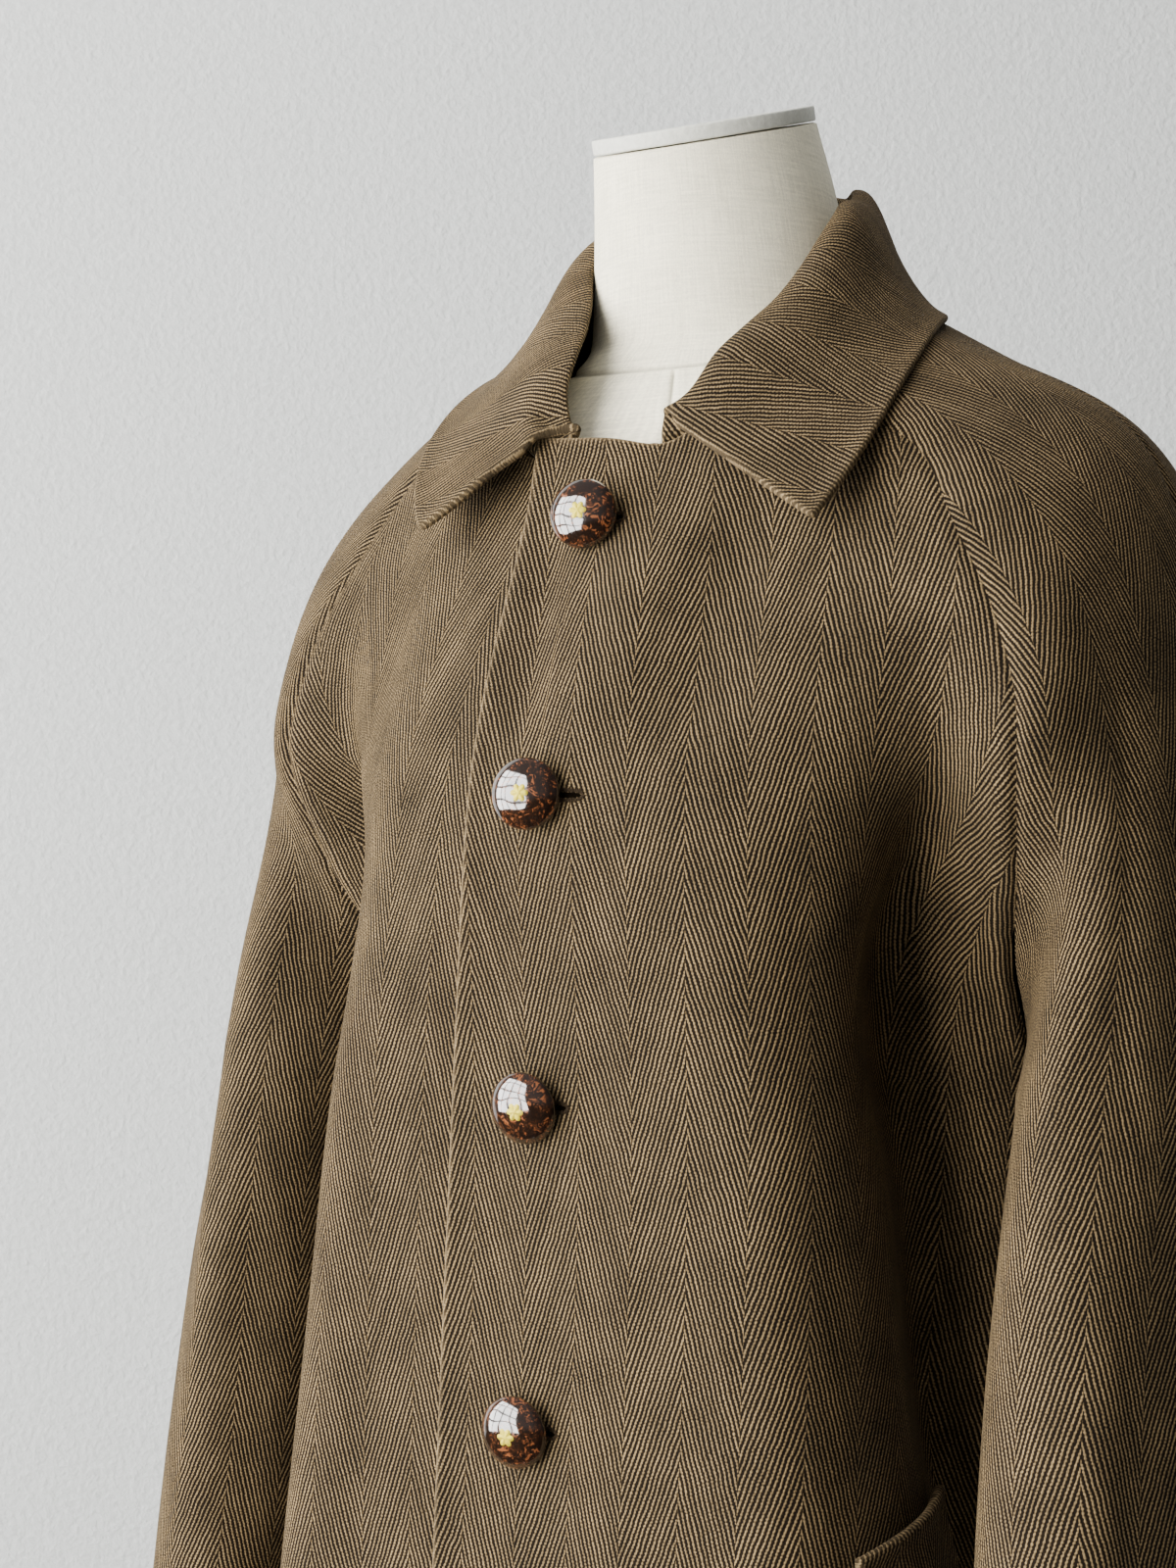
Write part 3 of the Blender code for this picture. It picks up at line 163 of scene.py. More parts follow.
# %% How the coat sits on the form
Swing = namedtuple("Swing", "height overarm seam inward")
SWING = (
    Swing(0.715, -0.120, -0.118, 0.018),
    Swing(0.800, -0.109, -0.106, 0.017),
    Swing(0.900, -0.092, -0.088, 0.014),
    Swing(0.980, -0.072, -0.064, 0.009),
    Swing(1.040, -0.056, -0.036, 0.004),
    Swing(1.090, -0.041, 0.000, 0.000),
    Swing(1.140, -0.029, 0.000, 0.000),
    Swing(1.200, -0.016, 0.000, 0.000),
    Swing(1.300, 0.000, 0.000, 0.000),
)
SWING_PINNED = 0.45
Settle = namedtuple("Settle", "height inward backward down")
SETTLE = (
    Settle(1.090, 0.000, 0.000, 0.000),
    Settle(1.200, 0.005, 0.006, 0.002),
    Settle(1.280, 0.008, 0.009, 0.003),
    Settle(1.340, 0.008, 0.009, 0.004),
    Settle(1.390, 0.006, 0.006, 0.004),
    Settle(1.430, 0.000, 0.000, 0.000),
)
SETTLE_START = 0.075
SETTLE_FULL = 0.180
LEFT_SIDE = 1
RIGHT_SIDE = -1
BOTH_SIDES = 0
MIRROR = np.array([-1.0, 1.0, 1.0])
print("the left sleeve hangs", -SWING[0].overarm, "m further forward at its cuff")

# %% [markdown]
# ## Curves
#
# A cut piece is a grid of points: each row is a curve from one edge to the other. These helpers read a
# table smoothly, draw one curve, and place points along it by its own length, as a tape measure would.

# %% Curve helpers
CURVE_STEPS = np.linspace(0.0, 1.0, 160)


def smooth(table, name, at):
    """One column of a table at places counted in its first column, without overshoot."""
    keys = np.array([row[0] for row in table])
    values = np.array([getattr(row, name) for row in table])
    gaps = np.diff(keys)
    slopes = np.diff(values) / gaps
    bends = np.zeros(len(keys))
    bends[0] = slopes[0]
    bends[-1] = slopes[-1]
    for i in range(1, len(keys) - 1):
        if slopes[i - 1] * slopes[i] > 0.0:
            before = 2.0 * gaps[i] + gaps[i - 1]
            after = gaps[i] + 2.0 * gaps[i - 1]
            bends[i] = (before + after) / (before / slopes[i - 1] + after / slopes[i])
    at = np.clip(np.asarray(at, dtype=float), keys[0], keys[-1])
    i = np.clip(np.searchsorted(keys, at) - 1, 0, len(gaps) - 1)
    t = (at - keys[i]) / gaps[i]
    start = (1.0 + 2.0 * t) * (1.0 - t) ** 2 * values[i] + t * (1.0 - t) ** 2 * gaps[i] * bends[i]
    end = t ** 2 * (3.0 - 2.0 * t) * values[i + 1] + t ** 2 * (t - 1.0) * gaps[i] * bends[i + 1]
    return start + end


def measured(table, at, *names):
    """Some columns of a table at one place, as plain numbers."""
    return [float(smooth(table, name, at)) for name in names]


def ease(low, high, value):
    t = np.clip((value - low) / (high - low), 0.0, 1.0)
    return t * t * (3.0 - 2.0 * t)


def bezier(points, steps):
    t = np.asarray(steps)[:, None]
    a, b, c, d = (np.asarray(point, dtype=float) for point in points)
    return a * (1 - t) ** 3 + 3 * b * t * (1 - t) ** 2 + 3 * c * t ** 2 * (1 - t) + d * t ** 3


def lengths(curve):
    return np.concatenate(([0.0], np.cumsum(np.linalg.norm(np.diff(curve, axis=0), axis=1))))


def at_lengths(curve, places):
    run = lengths(curve)
    return np.stack([np.interp(places, run, curve[:, axis]) for axis in range(3)], axis=1)


def seam_point(table, share):
    return np.array(measured(table, share, *"xyz"))


seam_run = lengths(np.array([row[1:4] for row in RAGLAN_FRONT]))[-1]
print("front raglan seam:", round(seam_run, 3), "m long")

# %% Rows across the body
Face = namedtuple("Face", "seam backward neck_height")
FACES = {
    "front": Face(RAGLAN_FRONT, 1.0, FRONT_NECK_HEIGHT),
    "back": Face(RAGLAN_BACK, -1.0, BACK_NECK_HEIGHT),
}


def seam_heading(face, share, turn_name):
    """Direction in which a row runs into its raglan seam."""
    turn, rise = measured(face.seam, share, turn_name, "rise")
    turn = math.radians(turn)
    return np.array([math.cos(turn), face.backward * math.sin(turn), rise])


def body_curve(level, side_name):
    """Half of a body row, middle line to seam, over levels 0 (hem), 1 (underarm) and 2 (neckline)."""
    face = FACES[side_name]
    if level <= 1.0:
        height = HEM_HEIGHT + (UNDERARM_HEIGHT - HEM_HEIGHT) * level
        end = np.array([*measured(BODY, height, "half_width", "side"), height])
        if side_name == "front":
            turn, middle_full, seam_full = measured(BODY, height, "front_turn", "front_middle", "front_seam")
            turn = np.radians(turn)
            heading = np.array([np.cos(turn), np.sin(turn), 0.0])
        else:
            middle_full, seam_full = measured(BODY, height, "back_full", "back_full")
            heading = np.array([0.0, face.backward, 0.0])
    else:
        share = 2.0 - level
        end = seam_point(face.seam, share)
        climbed = (end[2] - UNDERARM_HEIGHT) / (face.seam[0].z - UNDERARM_HEIGHT)
        height = UNDERARM_HEIGHT + (face.neck_height - UNDERARM_HEIGHT) * climbed
        heading = seam_heading(face, share, "body_turn")
        middle_full, seam_full = measured(face.seam, share, "middle_full", "seam_full")
    start = np.array([0.0, *measured(MIDDLE, height, side_name), height])
    first = start + np.array([middle_full * (end[0] - start[0]), 0.0, 0.0])
    flat = heading[:2] / np.linalg.norm(heading[:2])
    last = end - heading * seam_full * float(np.dot(end[:2] - start[:2], flat))
    return bezier((start, first, last, end), CURVE_STEPS)


def row_lap(level):
    """How far a front row runs past the middle line."""
    return float(smooth(MIDDLE, "lap", body_curve(level, "front")[0, 2]))


def body_row(level, side_name, places):
    """Points of a body row at lengths counted from the middle line, mirrored past it."""
    row = at_lengths(body_curve(level, side_name), np.abs(places))
    row[:, 0] *= np.where(places < 0.0, -1.0, 1.0)
    return row


half_hem = sum(lengths(body_curve(0.0, side_name))[-1] for side_name in FACES)
print("half of the hem:", round(half_hem, 3), "m")

# %% Rows across a sleeve
HALF_ROUND = 4.0 / 3.0
LEAD_LEVELS = 0.3
SLEEVE_SPREAD = 0.016


def sleeve_curve(level, side_name):
    """Half of a sleeve row, overarm line to seam, over levels 0 (neckline), 1 (underarm), 2 (cuff)."""
    face = FACES[side_name]
    spread = 0.0
    if level <= 1.0:
        seam = seam_point(face.seam, level)
        top = seam_point(OVERARM, level)
        heading = seam_heading(face, level, "sleeve_turn")
        seam_reach, top_reach = measured(face.seam, level, "seam_reach", "top_reach")
    else:
        height = UNDERARM_HEIGHT + (CUFF_HEIGHT - UNDERARM_HEIGHT) * (level - 1.0)
        inner, outer, middle = measured(RINGS, height, "inner", "outer", "middle")
        depth = float(smooth(RINGS, side_name + "_depth", height))
        below = ease(0.0, LEAD_LEVELS, level - 1.0)
        lead = (OVERARM[-1].y - RINGS[-1].middle) * (1.0 - below)
        seam = np.array([inner, middle, height])
        top = np.array([outer, middle + lead, height])
        heading = np.array([0.0, -face.backward, 0.0])
        seam_reach = HALF_ROUND * depth
        top_reach = seam_reach
        if side_name == "front":
            spread = SLEEVE_SPREAD * below
    last = seam + heading * seam_reach - np.array([spread, 0.0, 0.0])
    first = top + np.array([spread, -face.backward * top_reach, 0.0])
    return bezier((top, first, last, seam), CURVE_STEPS)


def sleeve_row(level, side_name, side, columns):
    curve = sleeve_curve(level, side_name)
    row = at_lengths(curve, np.linspace(0.0, lengths(curve)[-1], columns + 1))
    if side == LEFT_SIDE:
        shares = np.linspace(0.0, 1.0, columns + 1)
        top = float(smooth(SWING, "overarm", row[0, 2]))
        seam, inward = measured(SWING, row[-1, 2], "seam", "inward")
        row[:, 0] -= inward
        row[:, 1] += top + (seam - top) * ease(SWING_PINNED, 1.0, shares)
    return row


cuff_round = sum(lengths(sleeve_curve(2.0, side_name))[-1] for side_name in FACES)
print("cuff:", round(cuff_round, 3), "m round")

# %% [markdown]
# ## The cut pieces as grids
#
# Rows stacked from hem to neckline make a grid for each piece. Between the rows the shape is evened out along
# the length, because cloth hangs in one sweep, while the seams keep their places so that neighbours meet.

# %% Grids of the pieces
DETAIL = 6
SKIRT_ROWS = 14 * DETAIL
RAGLAN_ROWS = 12 * DETAIL
SLEEVE_ROWS = 11 * DETAIL
FRONT_COLUMNS = 14 * DETAIL
BACK_COLUMNS = 20 * DETAIL
SLEEVE_COLUMNS = 10 * DETAIL
EASE_ROWS = 3 * DETAIL
EASE_SHARE = 0.5
EASE_HELD = 0.35
body_levels = np.concatenate((
    np.linspace(0.0, 1.0, SKIRT_ROWS + 1), 2.0 - np.linspace(1.0, 0.0, RAGLAN_ROWS + 1)[1:]))
sleeve_levels = np.concatenate((
    np.linspace(0.0, 1.0, RAGLAN_ROWS + 1), 1.0 + np.linspace(0.0, 1.0, SLEEVE_ROWS + 1)[1:]))


def front_grid():
    """Left front as rows from the hem up and columns from the front edge to the seam, and their lengths."""
    rows = []
    spots = []
    for level in body_levels:
        whole = lengths(body_curve(level, "front"))[-1]
        places = np.linspace(-row_lap(level), whole, FRONT_COLUMNS + 1)
        rows.append(body_row(level, "front", places))
        spots.append(places)
    return np.array(rows), np.array(spots)


def back_grid():
    rows = []
    for level in body_levels:
        whole = lengths(body_curve(level, "back"))[-1]
        rows.append(body_row(level, "back", np.linspace(-whole, whole, BACK_COLUMNS + 1)))
    return np.array(rows)


def sleeve_grid(face, side):
    return np.array([sleeve_row(level, face, side, SLEEVE_COLUMNS) for level in sleeve_levels])


def eased(grid, first_held, last_held):
    """Rows evened out along the length of a piece, less and less toward the edges that are held."""
    steps = np.arange(-EASE_ROWS, EASE_ROWS + 1)
    weights = np.exp(-(steps / (EASE_SHARE * EASE_ROWS)) ** 2)
    weights = weights / weights.sum()
    before = 2.0 * grid[:1] - grid[EASE_ROWS:0:-1]
    after = 2.0 * grid[-1:] - grid[-2:-EASE_ROWS - 2:-1]
    longer = np.concatenate((before, grid, after))
    even = sum(weight * longer[k:k + len(grid)] for k, weight in enumerate(weights))
    shares = np.linspace(0.0, 1.0, grid.shape[1])
    amount = np.ones(grid.shape[1])
    if first_held:
        amount = amount * ease(0.0, EASE_HELD, shares)
    if last_held:
        amount = amount * ease(0.0, EASE_HELD, 1.0 - shares)
    return grid + (even - grid) * amount[None, :, None]


def settled(grid):
    """Points of the coat with its right shoulder moved in, back and down."""
    heights = grid[..., 2]
    amount = ease(SETTLE_START, SETTLE_FULL, -grid[..., 0])
    inward = smooth(SETTLE, "inward", heights)
    backward = smooth(SETTLE, "backward", heights)
    down = smooth(SETTLE, "down", heights)
    return grid + np.stack((inward, backward, -down), axis=-1) * amount[..., None]


NECK_DIP = 0.0055
NECK_DIP_X = 0.032
NECK_DIP_REACH = 0.018
NECK_DIP_LEVEL = 1.72
NECK_DIP_INNER = 0.044
NECK_DIP_OUTER = 0.056
fronts, front_spots = front_grid()
fronts = eased(fronts, False, True)
dip_across = np.exp(-((fronts[..., 0] - NECK_DIP_X) / NECK_DIP_REACH) ** 2)
neck_dip = ease(NECK_DIP_LEVEL, 2.0, body_levels)[:, None] * dip_across
fronts[..., 2] -= NECK_DIP * neck_dip * ease(NECK_DIP_OUTER, NECK_DIP_INNER, fronts[..., 0])
backs = eased(back_grid(), True, True)
print("front grid:", fronts.shape[:2], "back grid:", backs.shape[:2])

# %% [markdown]
# ## Pieces, seams and folds
#
# A piece knows its points, which side is out and which edges are sewn. Points that two pieces share get one
# normal, so a fold runs across a seam without a step. Folds are soft ridges and troughs along a line. The
# large ones are in the solids; the smaller creases after them are only cloth, placed as they lie on the coat.

# %% Pieces and shared normals
SAME_SIDE = 0.5
CREASE_SHARP = -0.2
CREASE_SMOOTH = 0.9
CREASE_REACH = 0.5
CREASE_ROW_STEP = 0.22 / DETAIL
HOLLOW_START = 0.16


def unit(vectors):
    return vectors / np.linalg.norm(vectors, axis=-1, keepdims=True)


def grid_normals(grid, outward):
    """Unit normals of a grid of points; outward is 1 or -1 to turn them out of the coat."""
    return unit(np.cross(np.gradient(grid, axis=1), np.gradient(grid, axis=0)) * outward)


class Piece:
    """One cut piece: its outer points, which way is out, and the edges that are sewn to others."""

    def __init__(self, name, grid, outward, sewn=(), lift=0.0, hollow=0.0):
        self.name = name
        self.grid = grid
        self.outward = outward
        self.sewn = sewn
        self.lift = lift
        self.hollow = hollow
        self.normals = grid_normals(grid, outward)
        self.flat = np.ones(grid.shape[:2])


def share_normals(pieces):
    """Give sewn points of neighbouring pieces one normal, and mark how far the cloth folds back there."""
    meeting = {}
    for piece in pieces:
        piece.normals = grid_normals(piece.grid, piece.outward)
        piece.flat = np.ones(piece.grid.shape[:2])
        rows, columns = piece.grid.shape[:2]
        edge = [(i, j) for i in range(rows) for j in (0, columns - 1)]
        edge += [(i, j) for i in (0, rows - 1) for j in range(1, columns - 1)]
        for i, j in edge:
            key = tuple(np.round(piece.grid[i, j], 5))
            meeting.setdefault(key, []).append((piece, i, j, piece.normals[i, j].copy()))
    for group in meeting.values():
        for piece, i, j, own in group:
            dots = [float(np.dot(own, other[3])) for other in group]
            joined = sum(other[3] for other, dot in zip(group, dots) if dot > SAME_SIDE)
            piece.normals[i, j] = unit(joined)
            piece.flat[i, j] = float(ease(CREASE_SHARP, CREASE_SMOOTH, min(dots)))
    for piece in pieces:
        spots = np.linspace(0.0, 1.0, piece.grid.shape[1])
        calm_edge = piece.flat.copy()
        for i in range(1, len(calm_edge)):
            calm_edge[i] = np.minimum(calm_edge[i], calm_edge[i - 1] + CREASE_ROW_STEP)
        for i in range(len(calm_edge) - 2, -1, -1):
            calm_edge[i] = np.minimum(calm_edge[i], calm_edge[i + 1] + CREASE_ROW_STEP)
        for edge, away in ((calm_edge[:, :1], spots), (calm_edge[:, -1:], 1.0 - spots)):
            calm = edge + (1.0 - edge) * ease(0.0, CREASE_REACH, away)[None, :]
            piece.flat = np.minimum(piece.flat, calm)


flat_by = np.minimum(LAP_SETTLED, front_spots[:, -1:])
front_lap = (CLOTH + LAP_GAP) * (1.0 - ease(LAP_FULL, flat_by, front_spots))
from_side = (front_spots[:, -1:] - front_spots) / (front_spots[:, -1:] - front_spots[:, :1])
front_hollow = ease(0.0, HOLLOW_START, from_side)
coat = [
    Piece("front_left", fronts, 1.0, ("last",), front_lap, front_hollow),
    Piece("front_right", settled(fronts * MIRROR), -1.0, ("last",), 0.0, front_hollow),
    Piece("back", settled(backs), -1.0, ("first", "last")),
]
for side, word in ((LEFT_SIDE, "left"), (RIGHT_SIDE, "right")):
    for face, outward in (("front", 1.0), ("back", -1.0)):
        grid = eased(sleeve_grid(face, side), False, True) * np.array([float(side), 1.0, 1.0])
        coat.append(Piece("sleeve_" + word + "_" + face, settled(grid), outward * side, ("first", "last")))
cut = {piece.name: piece for piece in coat}
print("cut pieces:", list(cut))

# %% Folds
Fold = namedtuple("Fold", "side face top_across top_height low_across low_height half_width depth")
FOLDS = (
    Fold(LEFT_SIDE, "front", 0.076, 1.352, 0.064, 1.215, 0.022, -0.0065),
    Fold(LEFT_SIDE, "front", 0.026, 1.322, 0.018, 1.205, 0.020, 0.0030),
    Fold(LEFT_SIDE, "front", 0.172, 1.325, 0.190, 1.190, 0.016, -0.0035),
    Fold(LEFT_SIDE, "front", 0.200, 1.330, 0.210, 1.060, 0.018, 0.0040),
    Fold(LEFT_SIDE, "front", 0.220, 1.380, 0.238, 1.000, 0.018, -0.0065),
    Fold(LEFT_SIDE, "front", 0.266, 1.140, 0.284, 0.780, 0.022, -0.0120),
    Fold(RIGHT_SIDE, "front", 0.206, 1.230, 0.246, 0.900, 0.018, 0.0050),
    Fold(RIGHT_SIDE, "front", 0.206, 1.040, 0.226, 0.820, 0.018, -0.0045),
    Fold(RIGHT_SIDE, "front", 0.100, 1.330, 0.124, 1.130, 0.022, -0.0050),
    Fold(BOTH_SIDES, "front", 0.112, 1.120, 0.142, 0.330, 0.024, 0.0040),
    Fold(BOTH_SIDES, "front", 0.060, 0.860, 0.066, 0.330, 0.026, -0.0070),
    Fold(BOTH_SIDES, "back", 0.052, 1.260, 0.082, 0.330, 0.030, 0.0090),
    Fold(BOTH_SIDES, "back", 0.118, 1.160, 0.150, 0.330, 0.026, -0.0100),
    Fold(BOTH_SIDES, "back", 0.214, 1.260, 0.250, 0.800, 0.018, -0.0050),
)
Hollow = namedtuple("Hollow", "top_x top_y top_height low_x low_y low_height reach depth")
HOLLOWS = (
    Hollow(0.160, -0.080, 1.330, 0.168, -0.012, 0.780, 0.038, -0.034),
    Hollow(0.150, -0.076, 1.270, 0.156, -0.060, 1.030, 0.028, -0.014),
)
CREASES = (
    Fold(RIGHT_SIDE, "front", 0.016, 1.338, 0.010, 1.215, 0.0085, -0.0032),
    Fold(RIGHT_SIDE, "front", 0.130, 1.260, 0.150, 1.020, 0.012, 0.0024),
    Fold(RIGHT_SIDE, "front", 0.075, 1.160, 0.090, 0.620, 0.016, -0.0022),
    Fold(LEFT_SIDE, "front", 0.034, 1.100, 0.046, 0.700, 0.016, 0.0018),
    Fold(LEFT_SIDE, "front", 0.090, 0.980, 0.104, 0.520, 0.014, -0.0020),
    Fold(LEFT_SIDE, "front", 0.214, 1.200, 0.222, 1.020, 0.009, -0.0018),
    Fold(LEFT_SIDE, "front", 0.238, 1.050, 0.262, 0.800, 0.010, 0.0020),
    Fold(RIGHT_SIDE, "front", 0.190, 1.280, 0.214, 1.080, 0.010, 0.0020),
    Fold(RIGHT_SIDE, "front", 0.232, 1.150, 0.262, 0.880, 0.010, -0.0022),
    Fold(RIGHT_SIDE, "back", 0.020, 1.200, 0.030, 0.800, 0.016, -0.0022),
    Fold(LEFT_SIDE, "back", 0.085, 1.000, 0.100, 0.450, 0.018, 0.0026),
    Fold(RIGHT_SIDE, "back", 0.150, 1.020, 0.175, 0.500, 0.016, -0.0024),
    Fold(LEFT_SIDE, "back", 0.160, 0.900, 0.190, 0.420, 0.016, 0.0022),
    Fold(LEFT_SIDE, "back", 0.240, 1.100, 0.270, 0.800, 0.010, 0.0020),
    Fold(RIGHT_SIDE, "back", 0.222, 1.160, 0.258, 0.860, 0.010, 0.0020),
)
FOLD_FADE = 0.34
FOLD_FACING = 1.6
CORNER_RAISE = 0.0045
CORNER_REACH = 0.030
CORNER_INNER = -0.010
CORNER_OUTER = 0.072


def faded(down):
    """How much of a fold is there, from nothing at its two ends."""
    return ease(0.0, FOLD_FADE, down) * (1.0 - ease(1.0 - FOLD_FADE, 1.0, down))


def fold_depth(points, normals, folds):
    """Height of some folds at points of the coat."""
    toward_back = FOLD_FACING * normals[..., 1]
    facing = {"front": np.clip(-toward_back, 0.0, 1.0), "back": np.clip(toward_back, 0.0, 1.0)}
    total = np.zeros(points.shape[:-1])
    sides = np.where(points[..., 0] < 0.0, RIGHT_SIDE, LEFT_SIDE)
    for fold in folds:
        mine = np.ones(total.shape) if fold.side == BOTH_SIDES else (sides == fold.side).astype(float)
        down = (fold.top_height - points[..., 2]) / (fold.top_height - fold.low_height)
        line = fold.top_across + (fold.low_across - fold.top_across) * down
        bell = np.exp(-((points[..., 0] * sides - line) / fold.half_width) ** 2)
        total += fold.depth * bell * faded(down) * mine * facing[fold.face]
    return total


def hollow_depth(points):
    """Depth of the hollows behind the front's corners at points of the coat."""
    total = np.zeros(points.shape[:-1])
    for hollow in HOLLOWS:
        down = (hollow.top_height - points[..., 2]) / (hollow.top_height - hollow.low_height)
        x = hollow.top_x + (hollow.low_x - hollow.top_x) * down
        y = hollow.top_y + (hollow.low_y - hollow.top_y) * down
        away = np.hypot(np.abs(points[..., 0]) - x, points[..., 1] - y) / hollow.reach
        total += hollow.depth * np.exp(-away ** 2) * faded(down)
    return total


share_normals(coat)
for piece in coat:
    depth = fold_depth(piece.grid, piece.normals, FOLDS + CREASES) * piece.flat + piece.lift
    depth = depth + hollow_depth(piece.grid) * piece.hollow
    piece.grid = piece.grid + piece.normals * depth[..., None]
top_front = cut["front_left"].grid
below_neck = top_front[-1:, :, 2] - top_front[..., 2]
near_corner = 1.0 - ease(CORNER_INNER, CORNER_OUTER, top_front[..., 0])
top_front[..., 2] += CORNER_RAISE * near_corner * (1.0 - ease(0.0, CORNER_REACH, below_neck))
share_normals(coat)
print("folds:", len(FOLDS), "large ones,", len(CREASES), "creases and", len(HOLLOWS), "hollows")

# %% [markdown]
# ## Flat patterns
#
# Woven stripes run straight in the flat cloth, so the weave has to be drawn on the flat pattern of each
# piece. Blender's unwrap with the least stretch lays a piece flat, as a cutter would. The pattern is then
# scaled to metres and turned until its grain line is upright.

# %% New objects, and values at their points
SMOOTH_ANGLE = math.radians(50.0)


def add_object(name, points, faces, surface=None, rounded=False, edges=()):
    """A new object; a rounded one is shaded smooth, except at its sharp corners."""
    mesh = bpy.data.meshes.new(name)
    mesh.from_pydata(points, edges, faces)
    if rounded:
        mesh.shade_smooth()
        mesh.set_sharp_from_angle(angle=SMOOTH_ANGLE)
    if surface is not None:
        mesh.materials.append(surface)
    made = bpy.data.objects.new(name, mesh)
    bpy.context.scene.collection.objects.link(made)
    return made


def corner_points(mesh):
    """The number of the point at each corner of each face."""
    owners = np.zeros(len(mesh.loops), dtype=int)
    mesh.loops.foreach_get("vertex_index", owners)
    return owners


def set_cut(mesh, places):
    """Keep the points' places on the flat cloth as a UV map."""
    corners = places[corner_points(mesh)].astype(np.float32)
    mesh.uv_layers.new(name="cut").data.foreach_set("uv", corners.reshape(-1))


def set_shares(mesh, name, shares):
    """Keep one number for each point, for the shader to read."""
    layer = mesh.attributes.new(name, "FLOAT", "POINT")
    layer.data.foreach_set("value", shares.astype(np.float32))


# %% Laying a piece flat
PATTERN_STEP = 3


def spaced(count, step):
    return np.unique(np.append(np.arange(0, count, step), count - 1))


def sheet_faces(rows, columns, flip):
    i, j = np.meshgrid(np.arange(rows - 1), np.arange(columns - 1), indexing="ij")
    a = (i * columns + j).reshape(-1)
    quads = np.stack((a + 1, a + columns + 1, a + columns, a), axis=1)
    return quads[:, ::-1] if flip else quads


def flat_pattern(grid, outward, grain_start, grain_end, across):
    """Places of the grid's points on the flat cloth, in metres, with the grain line upright."""
    rows = spaced(len(grid), PATTERN_STEP)
    columns = spaced(grid.shape[1], PATTERN_STEP)
    coarse = grid[np.ix_(rows, columns)]
    faces = sheet_faces(len(rows), len(columns), outward < 0)
    paper = add_object("pattern", coarse.reshape(-1, 3).tolist(), faces.tolist())
    mesh = paper.data
    mesh.uv_layers.new(name="cut")
    bpy.context.view_layer.objects.active = paper
    paper.select_set(True)
    bpy.ops.object.mode_set(mode="EDIT")
    bpy.ops.mesh.select_all(action="SELECT")
    bpy.ops.uv.unwrap(method="MINIMUM_STRETCH", margin=0.0)
    bpy.ops.object.mode_set(mode="OBJECT")
    laid = np.zeros(len(mesh.loops) * 2)
    mesh.uv_layers["cut"].data.foreach_get("uv", laid)
    places = np.zeros((len(mesh.vertices), 2))
    places[corner_points(mesh)] = laid.reshape(-1, 2)
    a, b, c, d = (places[faces[:, k]] for k in range(4))
    paper_area = 0.5 * np.abs(np.cross(c - a, d - b)).sum()
    cloth_area = sum(face.area for face in mesh.polygons)
    bpy.data.objects.remove(paper)
    places = places.reshape(len(rows), len(columns), 2) * math.sqrt(cloth_area / paper_area)
    fine = np.zeros((len(grid), len(columns), 2))
    full = np.zeros((len(grid), grid.shape[1], 2))
    for axis in range(2):
        for j in range(len(columns)):
            fine[:, j, axis] = np.interp(np.arange(len(grid)), rows, places[:, j, axis])
        for i in range(len(grid)):
            full[i, :, axis] = np.interp(np.arange(grid.shape[1]), columns, fine[i, :, axis])
    grain = unit(full[grain_end] - full[grain_start])
    turned = np.stack((full @ np.array([grain[1], -grain[0]]), full @ grain), axis=-1)
    return turned - turned[grain_start] + np.array([across, 0.0]), cloth_area


def lay_flat(piece, grain_start, grain_end, across):
    """Give a piece its flat pattern, with the size and the area of it."""
    piece.pattern, piece.area = flat_pattern(piece.grid, piece.outward, grain_start, grain_end, across)
    piece.cut_size = np.ptp(piece.pattern.reshape(-1, 2), axis=0)
    size = [round(float(length), 3) for length in piece.cut_size]
    print(piece.name, "flat", size, "m, area", round(piece.area, 4))


# %% Grain lines and flat sizes
chest_row = SKIRT_ROWS + RAGLAN_ROWS // 3
cuff_row = RAGLAN_ROWS + SLEEVE_ROWS
Grain = namedtuple("Grain", "start end across")
GRAINS = {
    "front_left": Grain((0, 0), (chest_row, 0), 0.000),
    "front_right": Grain((0, 0), (chest_row, 0), 0.031),
    "back": Grain((0, BACK_COLUMNS // 2), (chest_row, BACK_COLUMNS // 2), 0.000),
    "sleeve_left_front": Grain((cuff_row, 0), (RAGLAN_ROWS, 0), 0.006),
    "sleeve_left_back": Grain((cuff_row, 0), (RAGLAN_ROWS, 0), 0.004),
    "sleeve_right_front": Grain((cuff_row, 0), (RAGLAN_ROWS, 0), 0.006),
    "sleeve_right_back": Grain((cuff_row, 0), (RAGLAN_ROWS, 0), 0.004),
}
for piece in coat:
    lay_flat(piece, *GRAINS[piece.name])

# %% [markdown]
# ## Shader helpers and yarn
#
# Wool, linen and thread are all spun, so their yarns are uneven in the same way. One node group gives that
# unevenness, and the wool and the linen take it with their own size and amount.

# %% Nodes and materials
def put(tree, kind, wires=None, **settings):
    """A node with its settings, and its sockets filled with values or joined to other sockets."""
    made = tree.nodes.new(kind if "Node" in kind else "ShaderNode" + kind)
    for key, value in settings.items():
        setattr(made, key, value)
    for key, value in (wires or {}).items():
        if isinstance(value, bpy.types.NodeSocket):
            tree.links.new(value, made.inputs[key])
        else:
            made.inputs[key].default_value = value
    return made


def new_group(name, kind, inputs, outputs):
    """A node group, and its named inputs and outputs."""
    group = bpy.data.node_groups.new(name, kind)
    sockets = {}
    for way, wanted in (("INPUT", inputs), ("OUTPUT", outputs)):
        for key, value in wanted.items():
            sockets[key] = group.interface.new_socket(key, in_out=way, socket_type="NodeSocket" + value)
    return group, sockets


